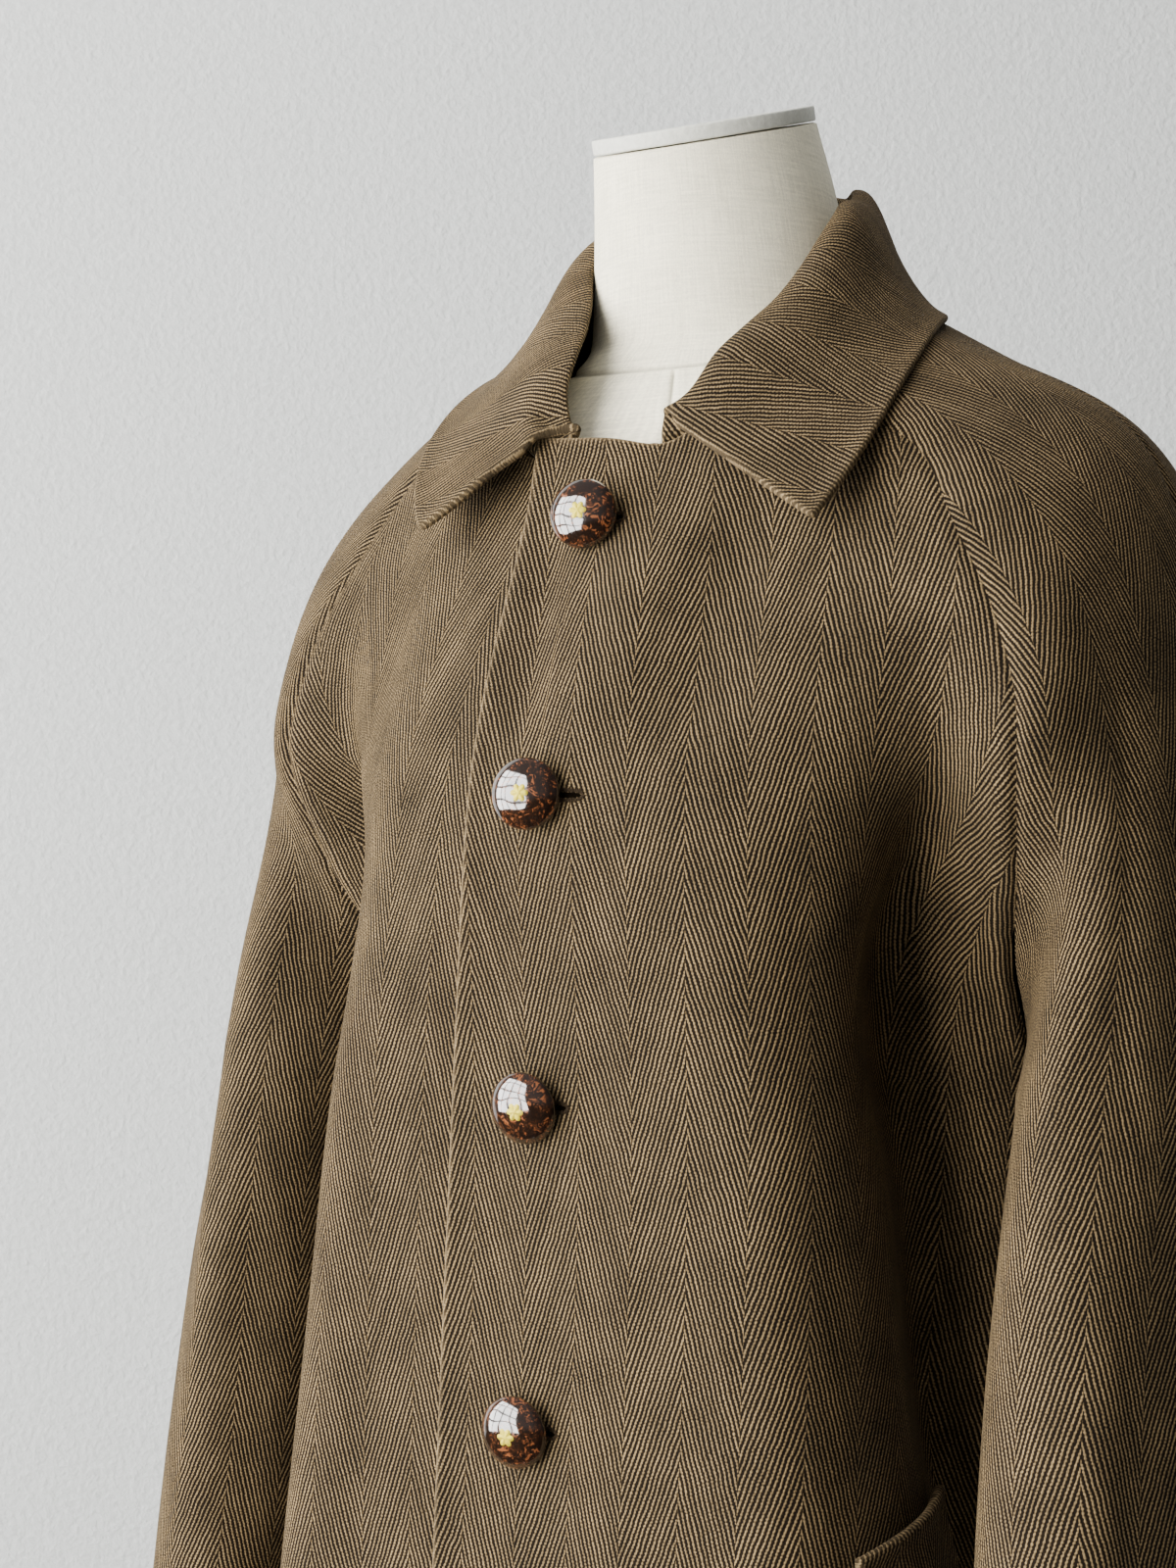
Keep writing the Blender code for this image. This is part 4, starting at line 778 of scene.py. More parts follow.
def new_material(name, roughness, **values):
    """A material, its tree and its main shader, with the even values set on the shader itself."""
    made = bpy.data.materials.new(name)
    made.use_nodes = True
    shader = made.node_tree.nodes["Principled BSDF"]
    shader.inputs["Roughness"].default_value = roughness
    for key, value in values.items():
        shader.inputs[key.replace("_", " ")].default_value = value
    return made, made.node_tree, shader


def join(tree, shader, **sockets):
    """Join what was worked out to the main shader."""
    for key, value in sockets.items():
        tree.links.new(value, shader.inputs[key.replace("_", " ")])


def rgb(red, green, blue):
    return (red, green, blue, 1.0)


# %% Steps inside a shader
def reckon(tree, operation, *values):
    """One step of arithmetic."""
    return put(tree, "Math", dict(enumerate(values)), operation=operation).outputs[0]


def times(tree, first, second):
    return reckon(tree, "MULTIPLY", first, second)


def plus(tree, first, second):
    return reckon(tree, "ADD", first, second)


def mixed(tree, factor, first, second, way="MIX"):
    """Two colours mixed by a factor."""
    made = put(tree, "Mix", {0: factor, 6: first, 7: second}, data_type="RGBA", blend_type=way)
    return made.outputs[2]


def toned(tree, colour, tone):
    """A colour made darker or lighter by one number."""
    grey = put(tree, "CombineColor", {0: tone, 1: tone, 2: tone}).outputs[0]
    return mixed(tree, 1.0, colour, grey, "MULTIPLY")


def between(tree, value, low, high, to_low, to_high, way="SMOOTHSTEP"):
    """A value moved from one range to another."""
    wires = {"Value": value, "From Min": low, "From Max": high, "To Min": to_low, "To Max": to_high}
    return put(tree, "MapRange", wires, interpolation_type=way).outputs[0]


def noise(tree, scale, detail, place=None, **more):
    """Noise at a place, or else in the object's own space: a number, then a colour."""
    if place is None:
        place = put(tree, "TexCoord").outputs["Object"]
    return put(tree, "TexNoise", {"Vector": place, "Scale": scale, "Detail": detail, **more}).outputs


def bumped(tree, strength, distance, height):
    """A surface that looks raised by a height."""
    return put(tree, "Bump", {"Strength": strength, "Distance": distance, "Height": height}).outputs[0]


# %% Uneven yarn, a group for all spun cloth
yarn, sockets = new_group("uneven yarn", "ShaderNodeTree", {
    "Place": "Vector", "Yarns per metre": "Float", "Amount": "Float"}, {"Shade": "Float", "Fuzz": "Float"})
given = put(yarn, "NodeGroupInput").outputs
fine_noise = noise(yarn, given["Yarns per metre"], 3.0, given["Place"])[0]
slow_noise = noise(yarn, times(yarn, given["Yarns per metre"], 0.03), 2.0, given["Place"])[0]
both = plus(yarn, fine_noise, times(yarn, slow_noise, 0.6))
spread = times(yarn, plus(yarn, both, -0.8), given["Amount"])
put(yarn, "NodeGroupOutput", {"Shade": plus(yarn, spread, 1.0), "Fuzz": fine_noise})
print("group:", yarn.name, list(sockets))


def uneven(tree, place, per_metre, amount):
    """Shade and fuzz of uneven yarn at a place."""
    wires = {"Place": place, "Yarns per metre": per_metre, "Amount": amount}
    made = put(tree, "Group", wires, node_tree=yarn)
    return made.outputs["Shade"], made.outputs["Fuzz"]


# %% [markdown]
# ## Herringbone wool
#
# Herringbone is a twill whose slant turns round at every stripe. In the flat pattern the slant is a zigzag:
# the distance across, folded back and forth at each stripe, plus a share of the distance along the grain.
# Tan yarns lie over dark ones, in lines that shift by half a step where the slant turns.

# %% The tweed material
STRIPE = 0.0255
LINES_PER_STRIPE = 12.0
LINE_STEP = STRIPE / LINES_PER_STRIPE
SLANT = math.tan(math.radians(18.0))
BEAD_STEP = 0.00135
WHOLE_TURN = 2.0 * math.pi
TAN_YARN = rgb(0.152, 0.105, 0.051)
DARK_YARN = rgb(0.0060, 0.0035, 0.0015)
# Lighter yarn at the free edges: partly wear, partly a painted highlight for a turned edge catching the
# light.
EDGE_WEAR_AND_HIGHLIGHT_YARN = rgb(0.180, 0.130, 0.071)

tweed, tree, shader = new_material(
    "coat_tweed", 0.86, Specular_IOR_Level=0.10, Sheen_Weight=0.03, Sheen_Roughness=0.45,
    Sheen_Tint=rgb(0.80, 0.64, 0.44))
laid = put(tree, "UVMap", uv_map="cut").outputs[0]
flat_at = put(tree, "SeparateXYZ", {0: laid}).outputs
waver = put(tree, "SeparateXYZ", {0: noise(tree, 95.0, 2.0, laid)[1]}).outputs
across = plus(tree, flat_at[0], times(tree, plus(tree, waver[0], -0.5), 0.0012))
along = plus(tree, flat_at[1], times(tree, plus(tree, waver[1], -0.5), 0.0030))
zigzag = reckon(tree, "PINGPONG", across, STRIPE)
stripe_number = reckon(tree, "FLOOR", reckon(tree, "DIVIDE", across, STRIPE))
turned_back = reckon(tree, "FLOORED_MODULO", stripe_number, 2.0)
slanted = plus(tree, zigzag, times(tree, along, SLANT))
line_count = plus(tree, reckon(tree, "DIVIDE", slanted, LINE_STEP), times(tree, turned_back, 0.5))
wave = reckon(tree, "SINE", times(tree, line_count, WHOLE_TURN))
line_number = reckon(tree, "FLOOR", plus(tree, line_count, -0.75))
bead_count = plus(tree, reckon(tree, "DIVIDE", along, BEAD_STEP), times(tree, line_number, 0.37))
bead = reckon(tree, "SINE", times(tree, bead_count, WHOLE_TURN))
shade, fuzz = uneven(tree, laid, 1150.0, 1.9)
ragged = times(tree, plus(tree, fuzz, -0.5), 1.5)
beaded = plus(tree, plus(tree, wave, times(tree, bead, 0.35)), ragged)
line = between(tree, beaded, -0.25, 0.95, 0.0, 1.0)
own_number = put(tree, "CombineXYZ", {0: line_number, 1: stripe_number}).outputs[0]
own_shade = put(tree, "TexWhiteNoise", {"Vector": own_number}, noise_dimensions="2D").outputs[0]
line_shade = between(tree, own_shade, 0.0, 1.0, 0.82, 1.16, "LINEAR")
# Free edges are mixed toward the lighter yarn: partly wear, partly a painted highlight.
wear_and_highlight = put(tree, "Attribute", attribute_name="wear_and_highlight").outputs["Fac"]
colour = mixed(tree, wear_and_highlight, mixed(tree, line, DARK_YARN, TAN_YARN), EDGE_WEAR_AND_HIGHLIGHT_YARN)
join(
    tree, shader,
    Base_Color=toned(tree, colour, times(tree, line_shade, shade)),
    Normal=bumped(tree, 0.75, 0.0006, plus(tree, line, times(tree, fuzz, 0.6))),
    Roughness=between(tree, line, 0.0, 1.0, 0.95, 0.80, "LINEAR"))
print("herringbone:", STRIPE * 1000, "mm stripes,", LINES_PER_STRIPE, "lines each")

# %% [markdown]
# ## Cloth shells
#
# Each piece becomes a closed wall of cloth. Where it is sewn, the surface dips into the seam. Where it ends
# in a turned edge, the wall swells a little and rounds over, which catches the light on a real edge. The
# edges are also painted a lighter yarn colour, partly as wear and partly as a painted highlight.

# %% Walls of cloth
EDGE_SHARES = np.array([0.0, 0.08, 0.18, 0.32, 0.50, 0.72])
SEAM_DEPTH = 0.0013
SEAM_REACH = 0.0026
TURNED = 0.0016
TURNED_INSIDE = 0.3
TURNED_REACH = 0.0070
# How strongly and how far in the edges are painted lighter, as wear and as a painted highlight.
EDGE_WEAR_AND_HIGHLIGHT = 0.85
WEAR_AND_HIGHLIGHT_REACH = 0.0014
ROUND_SHARE = 0.46


def at_places(values, places, axis):
    """Values of a grid at places counted in its own steps along one axis."""
    low = np.clip(places.astype(int), 0, values.shape[axis] - 2)
    part = (places - low).reshape([-1 if k == axis else 1 for k in range(values.ndim)])
    return np.take(values, low, axis=axis) * (1.0 - part) + np.take(values, low + 1, axis=axis) * part


def edge_places(count):
    return np.concatenate((EDGE_SHARES, np.arange(1, count - 1), count - 1 - EDGE_SHARES[::-1]))


def edge_distances(grid):
    """How far each point lies from the four edges, along the cloth."""
    across = np.linalg.norm(np.diff(grid, axis=1), axis=2)
    along = np.linalg.norm(np.diff(grid, axis=0), axis=2)
    first = np.pad(np.cumsum(across, axis=1), ((0, 0), (1, 0)))
    bottom = np.pad(np.cumsum(along, axis=0), ((1, 0), (0, 0)))
    return {"first": first, "last": first[:, -1:] - first, "bottom": bottom, "top": bottom[-1:] - bottom}


def round_corner(grid, far, side_edge, end_edge, radius):
    """Draw a corner of a grid in until its outline is an arc."""
    a = np.clip(1.0 - far[side_edge] / radius, 0.0, 1.0)
    b = np.clip(1.0 - far[end_edge] / radius, 0.0, 1.0)
    side_in = unit(np.gradient(grid, axis=1)) * (1.0 if side_edge == "first" else -1.0)
    end_in = unit(np.gradient(grid, axis=0)) * (1.0 if end_edge == "bottom" else -1.0)
    move_side = radius * a * (1.0 - np.sqrt(1.0 - b * b / 2.0))
    move_end = radius * b * (1.0 - np.sqrt(1.0 - a * a / 2.0))
    return grid + side_in * move_side[..., None] + end_in * move_end[..., None]


def wall_object(name, outer, inner, pattern, wear_and_highlight, flip):
    """Closed wall of tweed between two grids of points, with its flat pattern and its lighter edges of wear
    and painted highlight.
    """
    rows, columns = outer.shape[:2]
    count = rows * columns
    points = np.concatenate((outer.reshape(-1, 3), inner.reshape(-1, 3)))
    faces = [sheet_faces(rows, columns, flip), sheet_faces(rows, columns, not flip) + count]
    grid = np.arange(count).reshape(rows, columns)
    rim = np.concatenate((grid[0], grid[1:, -1], grid[-1, -2::-1], grid[-2:0:-1, 0]))
    after = np.roll(rim, -1)
    band = np.stack((rim, after, after + count, rim + count), axis=1)
    faces.append(band[:, ::-1] if flip else band)
    made = add_object(name, points.tolist(), np.concatenate(faces).tolist(), tweed, rounded=True)
    set_cut(made.data, np.tile(pattern.reshape(-1, 2), (2, 1)))
    set_shares(made.data, "wear_and_highlight", np.tile(wear_and_highlight.reshape(-1), 2))
    return made


def cloth_shell(name, piece, thickness, corners=(), turned=TURNED, reach=TURNED_REACH, wear_and_highlight_amount=EDGE_WEAR_AND_HIGHLIGHT):
    """A cut piece as a wall of cloth with seams that dip, and edges that swell, round over and are coloured
    lighter as wear and painted highlight.
    """
    row_places, column_places = (edge_places(count) for count in piece.grid.shape[:2])
    grid, normals, pattern = (
        at_places(at_places(values, row_places, 0), column_places, 1)
        for values in (piece.grid, piece.normals, piece.pattern))
    normals = unit(normals)
    far = edge_distances(grid)
    for side_edge, end_edge, radius in corners:
        grid = round_corner(grid, far, side_edge, end_edge, radius)
    sunk, swell, curl, wear_and_highlight = np.zeros((4,) + grid.shape[:2])
    radius = ROUND_SHARE * (thickness + (1.0 + TURNED_INSIDE) * turned)
    for edge, away in far.items():
        if edge in piece.sewn:
            sunk -= SEAM_DEPTH * np.exp(-(away / SEAM_REACH) ** 2)
        else:
            swell = np.maximum(swell, turned * np.exp(-(away / reach) ** 2))
            # The edge's lighter colour, partly wear and partly a painted highlight, fades over a short reach.
            wear_and_highlight = np.maximum(wear_and_highlight, wear_and_highlight_amount * np.exp(-(away / WEAR_AND_HIGHLIGHT_REACH) ** 2))
            left = np.clip(1.0 - away / radius, 0.0, 1.0)
            curl = np.maximum(curl, radius * (1.0 - np.sqrt(1.0 - left * left)))
    outer = grid + normals * (sunk + swell - curl)[..., None]
    inner = grid + normals * (sunk - thickness - TURNED_INSIDE * swell + curl)[..., None]
    return wall_object(name, outer, inner, pattern, wear_and_highlight, piece.outward < 0)


CORNERS = {
    "front_left": (("first", "top", 0.006), ("first", "bottom", 0.012)),
    "front_right": (("first", "top", 0.009), ("first", "bottom", 0.012)),
}
shells = {}
for piece in coat:
    shells[piece.name] = cloth_shell("coat_" + piece.name, piece, CLOTH, CORNERS.get(piece.name, ()))
    print(shells[piece.name].name, len(shells[piece.name].data.polygons), "faces")

# %% [markdown]
# ## Collar
#
# The collar is one strip that stands up from the neckline, rolls over and falls. A few curves give it: foot,
# roll and outer edge at several places round the neck. A smooth curve through those rows makes it as even as
# pressed cloth. The leaves are kept off the coat below them, so they lift as the real ones do.

# %% Collar table
NECK_SEAM_RISE = 0.0020
COLLAR_CLEARANCE = 0.0026
COLLAR_COLUMNS = 30
HEADING_STEP = 0.014
Collar = namedtuple("Collar", "share stand lean roll edge_x edge_y edge_z lift right_in right_roll_in")
COLLAR = (
    Collar(0.00, 0.046, -0.014, 0.012, 0.000, 0.114, 1.424, 0.0045, 0.000, 0.000),
    Collar(0.22, 0.045, -0.014, 0.012, 0.055, 0.102, 1.423, 0.0045, 0.000, 0.000),
    Collar(0.42, 0.043, -0.009, 0.013, 0.092, 0.060, 1.418, 0.0045, 0.000, 0.006),
    Collar(0.56, 0.036, 0.002, 0.013, 0.1055, 0.023, 1.411, 0.0050, 0.000, 0.017),
    Collar(0.70, 0.026, 0.005, 0.013, 0.1205, -0.0215, 1.388, 0.0060, 0.010, 0.030),
    Collar(0.84, 0.018, 0.002, 0.012, 0.1205, -0.0645, 1.352, 0.0080, 0.020, 0.025),
    Collar(0.94, 0.0115, 0.001, 0.010, 0.115, -0.0895, 1.328, 0.0100, 0.028, 0.012),
    Collar(1.00, 0.0075, 0.001, 0.009, 0.110, -0.099, 1.320, 0.0110, 0.035, 0.001),
)
LEFT_COLLAR_END = 0.029
RIGHT_COLLAR_END = 0.013
RIGHT_END_LOWER = 0.45
END_LOWER_START = 0.85
STAND_INTO_ROLL = 0.6
STAND_UPRIGHT = 0.6
RIGHT_FULLER = 0.012
FULLER_START = 0.40
FULLER_WHOLE = 0.62
LEAF_START = 0.6
FALL_FLARE = 0.52
FALL_DROP = 0.33
RIGHT_LIFT = 0.0120
RIGHT_LIFT_START = 0.66
EVEN_ROUNDS = 4
EVENED = (0.0, 0.0, 0.15, 0.5, 0.9, 1.0, 1.0, 1.0)
LEAF_BEND = 0.45
STAND_STEPS = (0.0, 0.45, 0.80)
SEAM_TUCK = 0.0050
FALL_STEPS = (0.0, 0.12, 0.26, 0.42, 0.58, 0.74, 0.88, 1.0)
print("collar:", len(COLLAR), "rows from the middle back to the front end")

# %% Collar rows
def cloth_tree(pieces):
    """Nearest-point tree of the outer faces of some pieces."""
    points = []
    faces = []
    for piece in pieces:
        rows, columns = piece.grid.shape[:2]
        faces.extend((sheet_faces(rows, columns, piece.outward < 0) + len(points)).tolist())
        points.extend(piece.grid.reshape(-1, 3).tolist())
    return BVHTree.FromPolygons(points, faces)


def keep_out(tree, point, clearance):
    """The point itself, or the point moved out until it clears the cloth below it."""
    spot, normal, _, _ = tree.find_nearest(Vector(point))
    if (Vector(point) - spot).dot(normal) < clearance:
        return np.array(spot + normal * clearance)
    return np.array(point)


def collar_length(line, end_x):
    """Length of the neckline from the middle back to where the collar ends, at a distance from the middle."""
    run = lengths(line)
    last = max(k for k in range(1, len(line)) if line[k - 1, 0] >= end_x)
    share = (line[last - 1, 0] - end_x) / (line[last - 1, 0] - line[last, 0])
    return run[last - 1] + share * (run[last] - run[last - 1])


def collar_half(line, end, tree, side):
    """Middle points of half of the folded collar: from the back to the front end, and over the roll."""
    half = []
    on_right = 1.0 if side == RIGHT_SIDE else 0.0
    outside = np.array([float(side), 1.0, 1.0])
    for share in np.linspace(0.0, 1.0, COLLAR_COLUMNS // 2 + 1):
        behind, here, ahead = at_lengths(line, share * end + np.array([-HEADING_STEP, 0.0, HEADING_STEP]))
        if share * end < HEADING_STEP:
            behind = ahead * MIRROR
        outward = unit(np.array([behind[1] - ahead[1], ahead[0] - behind[0], 0.0]))
        row = {name: float(smooth(COLLAR, name, share)) for name in Collar._fields[1:]}
        row["stand"] *= 1.0 - RIGHT_END_LOWER * on_right * float(ease(END_LOWER_START, 1.0, share))
        foot = here + np.array([0.0, 0.0, NECK_SEAM_RISE]) - outward * CLOTH / 2.0
        roll = foot + np.array([-row["right_roll_in"] * on_right, 0.0, row["stand"]]) + outward * row["lean"]
        edge_x = row["edge_x"] - row["right_in"] * on_right
        raised = RIGHT_LIFT * on_right * float(ease(RIGHT_LIFT_START, 1.0, share))
        edge = outside * (edge_x, row["edge_y"], row["edge_z"])
        edge = keep_out(tree, edge, row["lift"] + raised) * outside
        fall = edge - roll
        flat_fall = unit(np.array([fall[0], fall[1], 0.0]))
        bend = float(ease(LEAF_START, 1.0, share))
        over = outward * (1.0 - bend) + flat_fall * bend
        up = np.array([0.0, 0.0, STAND_UPRIGHT * row["stand"]])
        stand = bezier((foot, foot + up, roll - over * row["roll"] * STAND_INTO_ROLL, roll), STAND_STEPS)
        flare = FALL_FLARE + (LEAF_BEND - FALL_FLARE) * bend
        sink = FALL_DROP + (LEAF_BEND - FALL_DROP) * bend
        hang = edge - fall * np.array([flare, flare, sink])
        full = row["roll"] + RIGHT_FULLER * on_right * float(ease(FULLER_START, FULLER_WHOLE, share))
        drop = bezier((roll, roll + over * full, hang, edge), FALL_STEPS)
        for k in range(2, len(drop)):
            clearance = COLLAR_CLOTH / 2.0 + COLLAR_CLEARANCE + raised * FALL_STEPS[k]
            drop[k] = keep_out(tree, drop[k] * outside, clearance) * outside
        tuck = foot - outward * (CLOTH / 2.0 + COLLAR_CLOTH) - np.array([0.0, 0.0, SEAM_TUCK])
        half.append(np.concatenate((tuck[None], stand, drop)))
    half = np.array(half)
    fall = half[:, 1 + len(STAND_STEPS):]
    share = np.array(EVENED)[:, None]
    for _ in range(EVEN_ROUNDS):
        fall[1:-1] += share * (fall[:-2] - 2.0 * fall[1:-1] + fall[2:]) / 4.0
    return half


left_back_neck = cut["back"].grid[-1][BACK_COLUMNS // 2:]
neckline = np.concatenate((
    left_back_neck, cut["sleeve_left_back"].grid[0][-2::-1], cut["sleeve_left_front"].grid[0][1:],
    cut["front_left"].grid[-1][-2::-1]))
coat_below = cloth_tree(coat)
left_half = collar_half(neckline, collar_length(neckline, LEFT_COLLAR_END), coat_below, LEFT_SIDE)
right_half = collar_half(neckline, collar_length(neckline, RIGHT_COLLAR_END), coat_below, RIGHT_SIDE) * MIRROR
middle_back = (left_half[:1] + right_half[:1]) / 2.0
collar_rows = np.concatenate((right_half[:0:-1], middle_back, left_half[1:]))
print("neckline:", round(lengths(neckline)[-1], 3), "m on the left; collar rows:", collar_rows.shape[:2])

# %% Collar cloth
COLLAR_FINER = 6
LEFT_END_ROUND = 0.0050
RIGHT_END_ROUND = 0.0010
END_SPREAD = 0.0070
END_REACH = 0.0060


def finer(values, times, axis):
    """A smooth curve through the rows of a grid, with more points along one axis."""
    count = values.shape[axis]
    values = np.moveaxis(values, axis, 0)
    longer = np.concatenate((2.0 * values[:1] - values[1:2], values, 2.0 * values[-1:] - values[-2:-1]))
    places = np.linspace(0.0, count - 1.0, (count - 1) * times + 1)
    low = np.clip(places.astype(int), 0, count - 2)
    t = (places - low).reshape((-1,) + (1,) * (values.ndim - 1))
    a, b, c, d = (longer[low + k] for k in range(4))
    curve = b + 0.5 * t * (c - a + t * (2 * a - 5 * b + 4 * c - d + t * (3 * (b - c) + d - a)))
    return np.moveaxis(curve, 0, axis)


collar_middle = finer(finer(collar_rows, COLLAR_FINER, 0), COLLAR_FINER, 1)
collar_far = edge_distances(collar_middle)
roll_column = (1 + len(STAND_STEPS)) * COLLAR_FINER
from_roll = collar_far["first"] - collar_far["first"][:, roll_column:roll_column + 1]
for edge, way, rounded in (("bottom", 1.0, RIGHT_END_ROUND), ("top", -1.0, LEFT_END_ROUND)):
    pull = rounded * np.exp(-(from_roll / END_SPREAD) ** 2 - collar_far[edge] / END_REACH)
    collar_middle = collar_middle + way * unit(np.gradient(collar_middle, axis=0)) * pull[..., None]
collar_out = grid_normals(collar_middle, -1.0)
collar = Piece("collar", collar_middle + collar_out * COLLAR_CLOTH / 2.0, -1.0, ())
middle_row = len(collar.grid) // 2
collar_over = collar.grid.shape[1] - 1
lay_flat(collar, (middle_row, collar_over), (middle_row, collar_over // 2), 0.0)
COLLAR_CORNERS = (("last", "top", 0.004), ("last", "bottom", 0.005))
COLLAR_TURNED = 0.0012
COLLAR_TURNED_REACH = 0.0055
# The collar's edges get less of the lighter colour of wear and painted highlight.
COLLAR_WEAR_AND_HIGHLIGHT = 0.25
shells["collar"] = cloth_shell(
    "coat_collar", collar, COLLAR_CLOTH, COLLAR_CORNERS, COLLAR_TURNED, COLLAR_TURNED_REACH, COLLAR_WEAR_AND_HIGHLIGHT)
print("collar:", len(shells["collar"].data.polygons), "faces")

# %% [markdown]
# ## Pocket welts
#
# A slanted pocket is covered by a welt: a narrow doubled band laid on the front. Its points are taken from
# the front below it and moved out, so it follows the folds. The upper end is turned over in a rolled edge.

# %% Welts
WELT_CORNERS = {LEFT_SIDE: -0.044, RIGHT_SIDE: -0.020}
WELT_CORNER_HEIGHT = 0.935
WELT_LENGTH = 0.170
WELT_WIDTH = 0.078
WELT_LEAN = math.radians(3.0)
WELT_RISE = math.radians(13.0)
WELT_CLEARANCE = 0.0016
WELT_ROWS = 68
WELT_COLUMNS = 34
WELT_ROLL = 0.0062
WELT_ROLL_HEIGHT = 0.0012
# The welt's edges get less of the lighter colour of wear and painted highlight.
WELT_WEAR_AND_HIGHLIGHT = 0.2
WELT_ROUNDED = (("first", "bottom", 0.004),)


def make_welt(name, front, side):
    tree = cloth_tree([front])
    skirt = UNDERARM_HEIGHT - HEM_HEIGHT
    curve = body_curve((WELT_CORNER_HEIGHT - HEM_HEIGHT) / skirt, "front")
    corner = float(np.interp(WELT_CORNERS[side], curve[:, 1], lengths(curve)))
    grid = np.zeros((WELT_ROWS + 1, WELT_COLUMNS + 1, 3))
    for i, down in enumerate(np.linspace(0.0, WELT_LENGTH, WELT_ROWS + 1)):
        for j, over in enumerate(np.linspace(0.0, WELT_WIDTH, WELT_COLUMNS + 1)):
            length = corner + down * math.sin(WELT_LEAN) - over * math.cos(WELT_RISE)
            height = WELT_CORNER_HEIGHT - down * math.cos(WELT_LEAN) - over * math.sin(WELT_RISE)
            spot = body_row((height - HEM_HEIGHT) / skirt, "front", np.array([length]))[0]
            near, normal, _, _ = tree.find_nearest(Vector(spot * (side, 1.0, 1.0)))
            roll = WELT_ROLL_HEIGHT * math.exp(-((down - WELT_ROLL / 2.0) / (WELT_ROLL / 2.0)) ** 2)
            grid[i, j] = near + normal * (WELT_CLEARANCE + WELT_CLOTH + roll)
    welt = Piece(name, grid, float(side))
    middle = WELT_COLUMNS // 2
    lay_flat(welt, (0, middle), (WELT_ROWS, middle), STRIPE / 3.0)
    shells[name] = cloth_shell("coat_" + name, welt, WELT_CLOTH, WELT_ROUNDED, wear_and_highlight_amount=WELT_WEAR_AND_HIGHLIGHT)
    return welt


welts = [
    make_welt("pocket_welt_left", cut["front_left"], LEFT_SIDE),
    make_welt("pocket_welt_right", cut["front_right"], RIGHT_SIDE),
]
print("welts:", [len(shells[welt.name].data.polygons) for welt in welts], "faces")

# %% [markdown]
# ## Buttons
#
# The buttons are turned from horn: a polished dome over a flat back, on a short shank. Horn is dark brown
# with warm streaks and flecks in it. A profile spun round an axis gives the turned shape, as a lathe would.

# %% Polished horn and dull brass
horn, tree, shader = new_material(
    "button_horn", 0.09, Specular_IOR_Level=0.8, Coat_Weight=1.0, Coat_Roughness=0.03)
streak = noise(tree, 210.0, 3.0, Roughness=0.55, Distortion=3.0)[0]
cloud = between(tree, noise(tree, 120.0, 3.0, Distortion=2.2)[0], 0.40, 0.56, 0.0, 1.0)
fleck = between(tree, streak, 0.52, 0.62, 0.0, 1.0)
vein = between(tree, streak, 0.36, 0.44, 0.8, 0.0)
colour = mixed(tree, times(tree, cloud, fleck), rgb(0.010, 0.005, 0.003), rgb(0.170, 0.056, 0.020))
colour = mixed(tree, times(tree, vein, cloud), colour, rgb(0.090, 0.030, 0.012))
join(tree, shader, Base_Color=colour, Roughness=between(tree, streak, 0.3, 0.7, 0.06, 0.14))

brass, tree, shader = new_material("inlay_brass", 0.6, Metallic=0.35)
dulled = noise(tree, 700.0, 3.0)[0]
bright = between(tree, dulled, 0.35, 0.65, 0.0, 1.0)
colour = mixed(tree, bright, rgb(0.36, 0.28, 0.008), rgb(0.52, 0.44, 0.02))
join(tree, shader, Base_Color=colour, Roughness=between(tree, dulled, 0.3, 0.7, 0.45, 0.65))
print("finishes:", horn.name, brass.name)

# %% Turned buttons with a brass rosette
BUTTON_RADIUS = 0.0148
BUTTON_EDGE = 0.0026
BUTTON_DOME = 0.0062
BUTTON_SHANK_RADIUS = 0.0040
BUTTON_SHANK = 0.0022
BUTTON_STEPS = 72
BUTTON_CLEARANCE = 0.0012
Turned = namedtuple("Turned", "radius dome")
BUTTON_PROFILE = (
    Turned(0.00, 1.00),
    Turned(0.40, 0.90),
    Turned(0.75, 0.56),
    Turned(0.95, 0.16),
    Turned(0.99, 0.02),
)
Button = namedtuple("Button", "height across turn nod hole")
BUTTONS = (
    Button(1.3265, 0.002, 12.0, 14.0, 0.0160),
    Button(1.2105, 0.000, 14.0, 4.0, 0.0235),
    Button(1.0840, 0.000, 4.0, 9.0, 0.0180),
    Button(0.9535, 0.000, 4.0, 9.0, 0.0170),
    Button(0.8230, 0.000, 6.0, 4.0, 0.0200),
)
ROSETTE_RADIUS = 0.0044
ROSETTE_PETALS = 6
ROSETTE_HEIGHT = 0.00045
ROSETTE_STEPS = 48
ROSETTE_RINGS = 7


def ring_faces(rings, count, first, flip=False):
    """Faces between closed rings of points, counted from the first point of the first ring."""
    faces = []
    for low in range(first, first + (rings - 1) * count, count):
        for k in range(count):
            after = (k + 1) % count
            face = (low + k, low + count + k, low + count + after, low + after)
            faces.append(face[:1] + face[:0:-1] if flip else face)
    return faces


def fan_faces(tip, first, count, flip=False):
    """Faces between one point and a closed ring of points."""
    pairs = [(first + k, first + (k + 1) % count) for k in range(count)]
    return [(tip, after, here) if flip else (tip, here, after) for here, after in pairs]


def spun(name, profile, steps, surface):
    """A closed profile of radius and height, spun round the upright axis."""
    turns = np.linspace(0.0, WHOLE_TURN, steps, endpoint=False)
    points = [(0.0, 0.0, profile[0][1])]
    for radius, height in profile[1:-1]:
        points.extend((radius * math.cos(turn), radius * math.sin(turn), height) for turn in turns)
    points.append((0.0, 0.0, profile[-1][1]))
    end = len(points) - 1
    faces = fan_faces(0, 1, steps) + ring_faces(len(profile) - 2, steps, 1)
    faces += fan_faces(end, end - steps, steps, flip=True)
    return add_object(name, points, faces, surface, rounded=True)


def dome_height(radius):
    share = radius / BUTTON_RADIUS
    return float(BUTTON_SHANK + BUTTON_EDGE + BUTTON_DOME * smooth(BUTTON_PROFILE, "dome", share))


